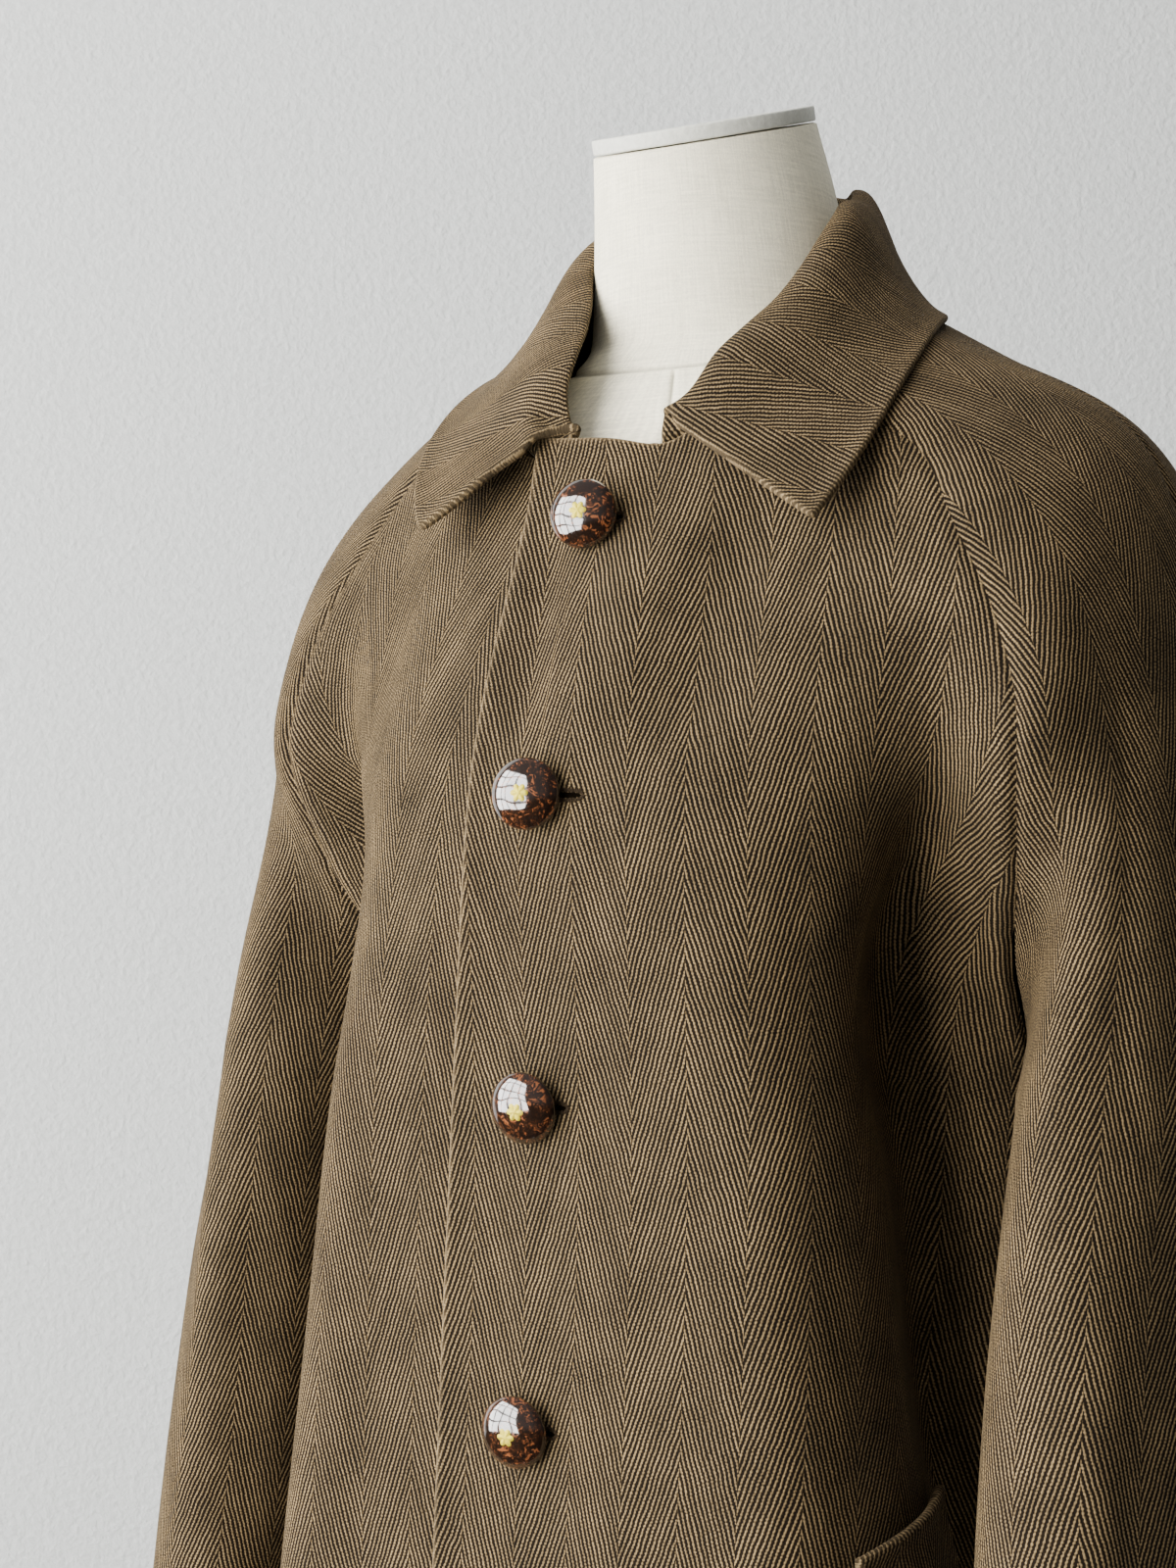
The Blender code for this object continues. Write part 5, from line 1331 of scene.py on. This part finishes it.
def rosette(placing):
    """A small plain flower of brass, let into the top of the dome."""
    turns = np.linspace(0.0, WHOLE_TURN, ROSETTE_STEPS, endpoint=False)
    points = [placing @ Vector((0.0, 0.0, dome_height(0.0) + ROSETTE_HEIGHT))]
    for ring in np.linspace(0.0, 1.0, ROSETTE_RINGS)[1:]:
        for turn in turns:
            petal = 0.78 + 0.22 * abs(math.cos(turn * ROSETTE_PETALS / 2.0))
            radius = ROSETTE_RADIUS * ring * petal
            rise = ROSETTE_HEIGHT * (0.55 + 0.45 * math.cos(turn * ROSETTE_PETALS) * ring) * (1.0 - ring ** 6)
            sink = ROSETTE_HEIGHT * 0.8 * ring ** 6
            height = dome_height(radius) + rise - sink
            points.append(placing @ Vector((radius * math.cos(turn), radius * math.sin(turn), height)))
    return points, fan_faces(0, 1, ROSETTE_STEPS) + ring_faces(ROSETTE_RINGS - 1, ROSETTE_STEPS, 1)


# %% Profile and places of the buttons
RIM_ROUND = 0.07
RIM_START = 0.35
radii = BUTTON_RADIUS * np.concatenate((np.linspace(0.0, 0.9, 22), np.linspace(0.92, 0.99, 8)))
button_profile = [(float(radius), dome_height(radius)) for radius in radii]
for turn in np.linspace(RIM_START, math.pi, 9):
    radius = BUTTON_RADIUS * (1.0 - RIM_ROUND) + BUTTON_RADIUS * RIM_ROUND * math.sin(turn)
    button_profile.append((radius, BUTTON_SHANK + BUTTON_EDGE / 2.0 * (1.0 + math.cos(turn))))
button_profile += [(BUTTON_SHANK_RADIUS, BUTTON_SHANK), (BUTTON_SHANK_RADIUS * 0.9, 0.0), (0.0, 0.0)]

front_tree = cloth_tree([cut["front_left"]])
INTO_COAT = Vector((0.0, 1.0, 0.0))
button_places = []
inlay_points, inlay_faces = [], []
for number, row in enumerate(BUTTONS, start=1):
    spot, normal, _, _ = front_tree.ray_cast(Vector((row.across, -1.0, row.height)), INTO_COAT)
    facing = Matrix.Rotation(math.radians(row.turn), 3, "Z") @ normal
    facing = Matrix.Rotation(math.radians(row.nod), 3, "X") @ facing
    dip = BUTTON_RADIUS * math.sin(facing.angle(normal)) - BUTTON_SHANK
    placing = Matrix.Translation(spot + normal * (BUTTON_CLEARANCE + max(dip, 0.0)))
    placing = placing @ facing.to_track_quat("Z", "Y").to_matrix().to_4x4()
    button = spun("coat_button_" + str(number), button_profile, BUTTON_STEPS, horn)
    button.data.transform(placing)
    shells["button_" + str(number)] = button
    points, faces = rosette(placing)
    inlay_faces.extend(tuple(corner + len(inlay_points) for corner in face) for face in faces)
    inlay_points.extend(points)
    button_places.append((spot, row.hole))
rosettes = add_object("button_rosettes", inlay_points, inlay_faces, brass)
rosettes.data.shade_smooth()
print("buttons:", len(button_places), "with", len(inlay_faces), "faces of brass")

# %% [markdown]
# ## Buttonholes
#
# Each button passes through a worked hole: a slit in the left front, with thread laid over its edges in close
# stitches. A tree of geometry nodes sets the stitches along the outline of the slits. Only the end of each
# hole shows beside its button. The slit itself is a near-black sheet: painted shade for the dark inside of
# the cut.

# %% Thread and outlines of the slits
HOLE_START = -0.004
HOLE_HALF = 0.0011
STITCH_OUT = 0.0010
HOLE_STEPS = 30
HOLE_RISE = 0.00015


def flecked(name, roughness, shine, scale, first, second):
    """A material of two colours in fine flecks."""
    made, tree, shader = new_material(name, roughness, Specular_IOR_Level=shine)
    join(tree, shader, Base_Color=mixed(tree, noise(tree, scale, 2.0)[0], first, second))
    return made


def hole_side(spot, hole, up, out):
    """Places along one side of a hole, each with the way the cloth faces there."""
    side = []
    for share in np.linspace(-1.0, 1.0, HOLE_STEPS):
        along = (HOLE_START + hole) / 2.0 + share * (hole - HOLE_START) / 2.0
        half = (HOLE_HALF + out) * math.sqrt(1.0 - abs(share) ** 6)
        start = Vector((spot.x + along + share * out, -1.0, spot.z + up * half))
        near, facing, _, _ = front_tree.ray_cast(start, INTO_COAT)
        side.append((near + facing * HOLE_RISE, facing))
    return side


thread = flecked("buttonhole_thread", 0.8, 0.08, 900.0, rgb(0.008, 0.005, 0.003), rgb(0.034, 0.022, 0.011))
# The slit's near-black colour is painted shade, standing for the dark inside of the cut.
slit_shade_paint = flecked("buttonhole_slit_shade", 0.9, 0.0, 1500.0, rgb(0.0010, 0.0007, 0.0004), rgb(0.0040, 0.0028, 0.0016))
outline, outline_edges = [], []
slit_points, slit_faces = [], []
for spot, hole in button_places:
    loop = hole_side(spot, hole, 1.0, STITCH_OUT)[1:] + hole_side(spot, hole, -1.0, STITCH_OUT)[-2:0:-1]
    first = len(outline)
    outline_edges.extend((first + k, first + (k + 1) % len(loop)) for k in range(len(loop)))
    outline.extend(loop)
    first = len(slit_points)
    for up in (1.0, -1.0):
        slit_points.extend(place for place, _ in hole_side(spot, hole, up, 0.0))
    for k in range(first, first + HOLE_STEPS - 1):
        slit_faces.append((HOLE_STEPS + k, HOLE_STEPS + k + 1, k + 1, k))
slit_shade_sheets = add_object("buttonhole_slits", slit_points, slit_faces, slit_shade_paint)
print("slits:", len(button_places), "with", len(outline), "points round them")

# %% Stitches by geometry nodes
STITCH_STEP = 0.00080
STITCH_SIZE = Vector((0.00085, 0.0020, 0.0007))
STITCH_SEED = 7
LEAST_SIZE = (0.85, 0.75, 0.85)
MOST_SIZE = (1.15, 1.20, 1.15)
sewing, sockets = new_group("Worked hole", "GeometryNodeTree", {
    "Path": "Geometry", "Step": "Float", "Stitch size": "Vector", "Seed": "Int"}, {"Stitches": "Geometry"})


def sew(kind, wires=None, **settings):
    """A node of the sewing tree, by its first output."""
    return put(sewing, kind, wires, **settings).outputs[0]


given = put(sewing, "NodeGroupInput").outputs
path = sew("GeometryNodeMeshToCurve", {"Mesh": given["Path"]})
spaced_path = sew("GeometryNodeResampleCurve", {"Curve": path, "Length": given["Step"]}, mode="LENGTH")
facing = sew("GeometryNodeInputNamedAttribute", {"Name": "facing"}, data_type="FLOAT_VECTOR")
upright = sew("FunctionNodeAlignRotationToVector", {"Vector": facing}, axis="Z")
set_in = sew("FunctionNodeAlignRotationToVector", {
    "Rotation": upright, "Vector": sew("GeometryNodeInputTangent")}, axis="X", pivot_axis="Z")
vary = sew("FunctionNodeRandomValue", {
    0: LEAST_SIZE, 1: MOST_SIZE, "Seed": given["Seed"]}, data_type="FLOAT_VECTOR")
size = sew("ShaderNodeVectorMath", {0: given["Stitch size"], 1: vary}, operation="MULTIPLY")
bead = sew("GeometryNodeMeshUVSphere", {"Segments": 8, "Rings": 5, "Radius": 0.5})
stitches = sew("GeometryNodeInstanceOnPoints", {
    "Points": spaced_path, "Instance": bead, "Rotation": set_in, "Scale": size})
real = sew("GeometryNodeRealizeInstances", {"Geometry": stitches})
coloured = sew("GeometryNodeSetMaterial", {"Geometry": real, "Material": thread})
put(sewing, "NodeGroupOutput", {"Stitches": coloured})

worked = add_object("buttonhole_stitches", [place for place, _ in outline], [], edges=outline_edges)
layer = worked.data.attributes.new("facing", "FLOAT_VECTOR", "POINT")
layer.data.foreach_set("vector", np.array([facing for _, facing in outline], dtype=np.float32).reshape(-1))
sewn = worked.modifiers.new("worked hole", "NODES")
sewn.node_group = sewing
sewn[sockets["Step"].identifier] = STITCH_STEP
sewn[sockets["Stitch size"].identifier] = STITCH_SIZE
sewn[sockets["Seed"].identifier] = STITCH_SEED
made = bpy.data.meshes.new_from_object(worked.evaluated_get(bpy.context.evaluated_depsgraph_get()))
worked.modifiers.remove(sewn)
worked.data = made
made.shade_smooth()
print("stitches:", len(made.polygons), "faces")

# %% [markdown]
# ## Dress form
#
# The form is a padded torso covered in undyed linen, with a seam round the base of the neck and one down the
# middle of the front. Rings of points, round to square by a table, make its body. Extra rings and columns by
# the seams let the linen sink into them, and the linen's colour is darkened there as painted shade.

# %% Form table and rings
Form = namedtuple("Form", "height half_width front back square tilt")
FORM = (
    Form(0.790, 0.134, -0.100, 0.106, 2.3, 0.0),
    Form(0.850, 0.136, -0.104, 0.112, 2.3, 0.0),
    Form(0.920, 0.130, -0.102, 0.112, 2.3, 0.0),
    Form(1.020, 0.112, -0.096, 0.100, 2.3, 0.0),
    Form(1.100, 0.110, -0.100, 0.100, 2.3, 0.0),
    Form(1.180, 0.122, -0.110, 0.106, 2.3, 0.0),
    Form(1.250, 0.156, -0.108, 0.108, 2.4, 0.0),
    Form(1.300, 0.160, -0.090, 0.106, 2.5, 0.0),
    Form(1.335, 0.156, -0.078, 0.102, 2.5, 0.0),
    Form(1.358, 0.142, -0.069, 0.098, 2.4, 0.0),
    Form(1.376, 0.120, -0.059, 0.094, 2.3, 0.0),
    Form(1.390, 0.094, -0.050, 0.091, 2.2, 0.0),
    Form(1.402, 0.072, -0.042, 0.088, 2.1, 0.0),
    Form(1.416, 0.063, -0.038, 0.085, 2.0, 0.2),
    Form(1.440, 0.059, -0.040, 0.079, 2.0, 0.5),
    Form(1.472, 0.055, -0.043, 0.070, 2.0, 0.8),
    Form(1.506, 0.050, -0.048, 0.055, 2.0, 1.0),
)
NECK_TILT = math.radians(16.5)
FRONT_SEAM_X = 0.013
FRONT_SEAM_LEAN = 0.28
FRONT_SEAM_FOOT = 1.370
FRONT_SEAM_TOP = 1.396
NECK_SEAM_HEIGHT = 1.4060
NECK_SEAM_SLOPE = 0.21
FORM_SEAM_DEPTH = 0.0012
FORM_SEAM_REACH = 0.0009
FORM_GIRTH = 0.075
FORM_FRONT_GIRTH = 0.09
FORM_TOP_IN = 0.03
FORM_TOP_RISE = (0.0, 0.0, 0.0006)


def form_ring(height, offsets):
    """Closed ring of the form, counted from its front seam."""
    row = {name: float(smooth(FORM, name, height)) for name in Form._fields[1:]}
    power = 2.0 / row["square"]
    below_top = float(np.clip(FRONT_SEAM_TOP - height, 0.0, FRONT_SEAM_TOP - FRONT_SEAM_FOOT))
    aside = ((FRONT_SEAM_X + FRONT_SEAM_LEAN * below_top) / row["half_width"]) ** (1.0 / power)
    turns = -math.pi / 2.0 + math.asin(aside) + offsets
    x = row["half_width"] * np.sign(np.cos(turns)) * np.abs(np.cos(turns)) ** power
    middle = (row["front"] + row["back"]) / 2.0
    depth = (row["back"] - row["front"]) / 2.0
    y = middle + depth * np.sign(np.sin(turns)) * np.abs(np.sin(turns)) ** power
    z = height + math.tan(NECK_TILT) * row["tilt"] * (y - middle)
    return np.stack((x, y, z), axis=1)


near_seam = np.array([0.0, 0.006, 0.012, 0.020, 0.032])
seam_offsets = np.concatenate((
    near_seam, np.linspace(0.06, WHOLE_TURN - 0.06, 132), WHOLE_TURN - near_seam[::-1]))
form_heights = np.unique(np.round(np.concatenate((
    np.linspace(FORM[0].height, 1.37, 70), np.linspace(1.37, 1.425, 90),
    np.linspace(1.425, FORM[-1].height, 60))), 5))
form_grid = np.array([form_ring(height, seam_offsets) for height in form_heights])
form_out = grid_normals(form_grid, 1.0)
from_front_seam = np.minimum(seam_offsets, WHOLE_TURN - seam_offsets)[None, :] * FORM_FRONT_GIRTH
from_neck_seam = form_grid[..., 2] - (NECK_SEAM_HEIGHT + NECK_SEAM_SLOPE * form_grid[..., 1])
neck_sink = np.exp(-(from_neck_seam / FORM_SEAM_REACH) ** 2)
front_sink = np.exp(-(from_front_seam / FORM_SEAM_REACH) ** 2) * ease(0.0, -0.004, from_neck_seam)
form_seams = np.maximum(neck_sink, front_sink)
form_grid = form_grid - form_out * (FORM_SEAM_DEPTH * form_seams)[..., None]
print("form rings:", form_grid.shape[:2])

# %% Linen
LINEN_STEP = 0.00070
linen, tree, shader = new_material("form_linen", 0.88, Specular_IOR_Level=0.2, Sheen_Weight=0.08)
laid = put(tree, "UVMap", uv_map="cut").outputs[0]
laid_at = put(tree, "SeparateXYZ", {0: laid}).outputs
warp_wave, weft_wave = (
    reckon(tree, "SINE", times(tree, laid_at[k], WHOLE_TURN / LINEN_STEP)) for k in range(2))
long_way, cross_way = (
    put(tree, "Mapping", {"Vector": laid, "Scale": scale}).outputs[0]
    for scale in ((1.0, 0.05, 1.0), (0.05, 1.0, 1.0)))
slub = plus(tree, noise(tree, 900.0, 3.0, long_way)[0], noise(tree, 900.0, 3.0, cross_way)[0])
shade, fuzz = uneven(tree, laid, 900.0, 0.30)
crossing = put(tree, "VectorMath", {0: laid, "Scale": 1.0 / LINEN_STEP}, operation="SCALE").outputs[0]
crossing = put(tree, "VectorMath", {0: crossing}, operation="FLOOR").outputs[0]
own_shade = put(tree, "TexWhiteNoise", {"Vector": crossing}, noise_dimensions="2D").outputs[0]
shade = times(tree, shade, between(tree, own_shade, 0.0, 1.0, 0.93, 1.05, "LINEAR"))
tone = times(tree, shade, between(tree, slub, 0.7, 1.3, 0.84, 1.06))
# Darker colour in the seam grooves: painted shade where the linen sinks into the seams.
sunk = put(tree, "Attribute", attribute_name="seam").outputs["Fac"]
tone = times(tree, tone, between(tree, sunk, 0.3, 1.0, 1.0, 0.62))
height = plus(tree, times(tree, times(tree, warp_wave, weft_wave), 0.35), times(tree, slub, 1.2))
join(
    tree, shader,
    Base_Color=toned(tree, rgb(0.78, 0.730, 0.560), tone),
    Normal=bumped(tree, 0.45, 0.0003, height),
    Roughness=between(tree, slub, 0.7, 1.3, 0.95, 0.82))
print("linen yarns:", LINEN_STEP * 1000, "mm")

# %% Form body, closed at the hip and at the top of the neck
rows, columns = form_grid.shape[:2]
around = columns - 1
rim = rows * around
top_ring = form_grid[-1, :-1]
top_middle = top_ring.mean(axis=0)
hip_middle = form_grid[0, :-1].mean(axis=0)
points = np.concatenate((
    form_grid[:, :-1].reshape(-1, 3), top_ring + (top_middle - top_ring) * FORM_TOP_IN + FORM_TOP_RISE,
    top_middle[None] + FORM_TOP_RISE, hip_middle[None]))
faces = ring_faces(rows + 1, around, 0, flip=True)
faces += fan_faces(rim + around, rim, around) + fan_faces(rim + around + 1, 0, around, flip=True)
form_body = add_object("form_body", points.tolist(), faces, linen, rounded=True)
girth = np.append(np.tile(seam_offsets[:-1] * FORM_GIRTH, rows + 1), [0.0, 0.0])
set_cut(form_body.data, np.stack((girth, points[:, 2]), axis=1))
# The seam share also darkens the linen's colour, as painted shade.
set_shares(form_body.data, "seam", np.append(form_seams[:, :-1].reshape(-1), np.zeros(around + 2)))
shells["form_torso"] = form_body
print("form:", len(faces), "faces")

# %% [markdown]
# ## Neck cap and stand
#
# A painted wooden cap closes the neck, tilted as the neck is. Below, a steel pole carries the form on a heavy
# round base. All three are turned or round, so they are spun from short profiles with rounded edges.

# %% Paint and steel
paint, tree, shader = new_material("cap_paint", 0.55, Specular_IOR_Level=0.35)
brushed = noise(tree, 420.0, 4.0, Roughness=0.6)[0]
chipped = between(tree, noise(tree, 95.0, 3.0, Distortion=0.8)[0], 0.66, 0.74, 0.0, 0.6)
colour = mixed(tree, between(tree, brushed, 0.3, 0.7, 0.0, 1.0), rgb(0.46, 0.46, 0.41), rgb(0.55, 0.55, 0.49))
colour = mixed(tree, chipped, colour, rgb(0.40, 0.36, 0.30))
join(tree, shader, Base_Color=colour, Normal=bumped(tree, 0.5, 0.0006, brushed))

steel, tree, shader = new_material("stand_metal", 0.35, Metallic=1.0)
place = put(tree, "TexCoord").outputs["Object"]
drawn_out = put(tree, "Mapping", {"Vector": place, "Scale": (1.0, 1.0, 0.04)}).outputs[0]
brushed = noise(tree, 900.0, 3.0, drawn_out)[0]
stain = between(tree, noise(tree, 24.0, 4.0)[0], 0.35, 0.7, 0.0, 1.0)
join(
    tree, shader,
    Base_Color=mixed(tree, stain, rgb(0.34, 0.34, 0.35), rgb(0.22, 0.215, 0.21)),
    Normal=bumped(tree, 0.2, 0.0002, brushed),
    Roughness=between(tree, brushed, 0.25, 0.75, 0.26, 0.48))
print("finishes:", paint.name, steel.name)

# %% Cap, pole and base
CAP_RADIUS_X = 0.0500
CAP_RADIUS_Y = 0.0530
CAP_THICKNESS = 0.0068
CAP_BEVEL = 0.0011
CAP_GAP = 0.0012
BASE_RADIUS = 0.200
BASE_THICKNESS = 0.016
BASE_HUB_RADIUS = 0.034
BASE_HUB_HEIGHT = 0.034
BASE_BEVEL = 0.003
POLE_RADIUS = 0.016
POLE_GAP = 0.0003


def rounded_profile(corners, bevel, steps=5):
    """A profile of radius and height, closed on the axis, with each outer corner rounded over."""
    profile = [corners[0]]
    for before, here, after in zip(corners, corners[1:], corners[2:]):
        back = Vector(before) - Vector(here)
        on = Vector(after) - Vector(here)
        start = Vector(here) + back.normalized() * min(bevel, back.length / 2.5)
        end = Vector(here) + on.normalized() * min(bevel, on.length / 2.5)
        for t in np.linspace(0.0, 1.0, steps):
            profile.append(tuple(start * (1 - t) ** 2 + Vector(here) * 2 * t * (1 - t) + end * t ** 2))
    profile.append(corners[-1])
    return profile


half = CAP_THICKNESS / 2.0
cap_corners = ((0.0, half), (1.0, half), (1.0, -half), (0.0, -half))
cap_corners = [(radius * CAP_RADIUS_X, height) for radius, height in cap_corners]
cap = spun("form_cap", rounded_profile(cap_corners, CAP_BEVEL), 128, paint)
cap_up = Vector((0.0, -math.sin(NECK_TILT), math.cos(NECK_TILT)))
cap_middle = Vector((0.0, (FORM[-1].front + FORM[-1].back) / 2.0, FORM[-1].height))
placing = Matrix.Translation(cap_middle + cap_up * (CAP_GAP + half)) @ Matrix.Rotation(NECK_TILT, 4, "X")
cap.data.transform(placing @ Matrix.Diagonal((1.0, CAP_RADIUS_Y / CAP_RADIUS_X, 1.0, 1.0)))
shells["form_neck_cap"] = cap
pole_low, pole_high = BASE_HUB_HEIGHT + POLE_GAP, FORM[0].height - POLE_GAP
pole_corners = ((0.0, pole_high), (POLE_RADIUS, pole_high), (POLE_RADIUS, pole_low), (0.0, pole_low))
shells["stand_pole"] = spun("form_pole", rounded_profile(pole_corners, 0.001), 96, steel)
base_corners = (
    (0.0, BASE_HUB_HEIGHT), (BASE_HUB_RADIUS, BASE_HUB_HEIGHT), (BASE_HUB_RADIUS, BASE_THICKNESS),
    (BASE_RADIUS, BASE_THICKNESS), (BASE_RADIUS, 0.0), (0.0, 0.0))
shells["stand_base"] = spun("form_base", rounded_profile(base_corners, BASE_BEVEL), 160, steel)
turned_names = ("form_neck_cap", "stand_pole", "stand_base")
print("cap, pole and base:", [len(shells[name].data.polygons) for name in turned_names], "faces")

# %% [markdown]
# ## Room and light
#
# A pale grey wall stands behind the coat and a pale floor under it. Daylight comes from a large window to
# the left of the camera, in panes, so the polished domes show its bars. The rest of the room only fills the
# shade.

# %% Wall and floor
WALL_BEHIND = 1.25
WALL_MIDDLE = 1.6
WALL_WIDTH = 9.0
WALL_HEIGHT = 5.0
FLOOR_HALF = 6.0


def plain_paint(name, colour, speckle):
    made, tree, shader = new_material(name, 0.9, Specular_IOR_Level=0.1)
    rolled = noise(tree, 170.0, 4.0)[0]
    tone = between(tree, rolled, 0.2, 0.8, 1.0 - speckle, 1.0 + speckle, "LINEAR")
    join(tree, shader, Base_Color=toned(tree, colour, tone), Normal=bumped(tree, 0.60, 0.003, rolled))
    return made, tree, shader


def add_plane(name, middle, across, up, surface):
    """A flat four-cornered plane."""
    corners = (middle - across - up, middle + across - up, middle + across + up, middle - across + up)
    return add_object(name, [tuple(corner) for corner in corners], [(0, 1, 2, 3)], surface)


wall_paint, tree, shader = plain_paint("wall_paint", rgb(0.42, 0.430, 0.424), 0.10)
through = put(tree, "BsdfTransparent").outputs[0]
behind = put(tree, "NewGeometry").outputs["Backfacing"]
one_sided = put(tree, "MixShader", {0: behind, 1: shader.outputs[0], 2: through})
tree.links.new(one_sided.outputs[0], tree.nodes["Material Output"].inputs[0])
wall_at = looking * WALL_BEHIND + Vector((0.0, 0.0, WALL_MIDDLE))
wall_up = Vector((0.0, 0.0, WALL_HEIGHT / 2.0))
wall = add_plane("wall", wall_at, to_right * WALL_WIDTH / 2.0, wall_up, wall_paint)
floor_paint, tree, shader = plain_paint("floor_paint", rgb(0.52, 0.52, 0.50), 0.02)
floor_across = Vector((FLOOR_HALF, 0.0, 0.0))
floor_along = Vector((0.0, FLOOR_HALF, 0.0))
floor = add_plane("floor", Vector(), floor_across, floor_along, floor_paint)
floor.visible_glossy = False
print("room: wall", WALL_BEHIND, "m behind the coat")

# %% Window panes and ceiling
WINDOW_TURN = math.radians(68.0)
WINDOW_AWAY = 2.4
WINDOW_HEIGHT = 1.78
WINDOW_COLOUR = (1.0, 0.985, 0.96)
PANE_WIDTH = 0.70
PANE_HEIGHT = 0.68
PANE_GAP = 0.12
PANES_ACROSS = 4
PANES_UP = 4
PANE_POWER = 30.5
CEILING_HEIGHT = 3.2
CEILING_SIZE = 2.6
CEILING_POWER = 58.0


def add_lamp(name, width, height, power, place):
    """A flat lamp that shines downward until it is turned, and that the camera doesn't see."""
    glow = bpy.data.lights.new(name, "AREA")
    glow.shape = "RECTANGLE"
    glow.size = width
    glow.size_y = height
    glow.energy = power
    lamp = bpy.data.objects.new(name, glow)
    lamp.location = place
    lamp.visible_camera = False
    bpy.context.scene.collection.objects.link(lamp)
    return lamp


toward = -looking * math.cos(WINDOW_TURN) - to_right * math.sin(WINDOW_TURN)
along_window = Vector((-toward.y, toward.x, 0.0))
window_middle = toward * WINDOW_AWAY + Vector((0.0, 0.0, WINDOW_HEIGHT))
for i in range(PANES_ACROSS):
    for k in range(PANES_UP):
        aside = (i - (PANES_ACROSS - 1) / 2.0) * (PANE_WIDTH + PANE_GAP)
        above = (k - (PANES_UP - 1) / 2.0) * (PANE_HEIGHT + PANE_GAP)
        place = window_middle + along_window * aside + Vector((0.0, 0.0, above))
        pane = add_lamp("window_pane_" + str(i) + "_" + str(k), PANE_WIDTH, PANE_HEIGHT, PANE_POWER, place)
        pane.rotation_euler = (-toward).to_track_quat("-Z", "Y").to_euler()
        pane.data.color = WINDOW_COLOUR
ceiling = add_lamp("ceiling", CEILING_SIZE, CEILING_SIZE, CEILING_POWER, (0.0, 0.0, CEILING_HEIGHT))
ceiling.visible_glossy = False
print("window:", PANES_ACROSS * PANES_UP, "panes")

# %% Light of the room
GROUND_LIGHT = 0.02
ROOM_LIGHT = 0.26
DARK_SIDE = 0.25
world = bpy.data.worlds.new("room")
world.use_nodes = True
sky = world.node_tree
background = sky.nodes["Background"]
background.inputs["Color"].default_value = rgb(0.95, 0.97, 1.0)
outlook = put(sky, "TexCoord").outputs["Generated"]
upward = put(sky, "SeparateXYZ", {0: outlook}).outputs[2]
rightward = put(sky, "VectorMath", {0: outlook, 1: to_right}, operation="DOT_PRODUCT").outputs["Value"]
room = between(sky, upward, -0.2, 0.1, GROUND_LIGHT, ROOM_LIGHT)
dimmed = times(sky, room, between(sky, rightward, -0.1, 0.6, 1.0, DARK_SIDE))
join(sky, background, Strength=dimmed)
bpy.context.scene.world = world
print("room light:", ROOM_LIGHT, "and", DARK_SIDE, "of it on the dark side")

# %% [markdown]
# ## What each piece stands for
#
# Every piece rides on the one body of the part. The cloth, the buttons, the form and the stand replace their
# solids, which are hidden.

# %% Bodies and solids
for name, made in shells.items():
    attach(made, "root")
    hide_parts(name)
details = [rosettes, slit_shade_sheets, worked]
for made in details:
    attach(made, "root")
print("pieces:", len(shells) + len(details), "of which", len(coat) + 3, "are sheets")
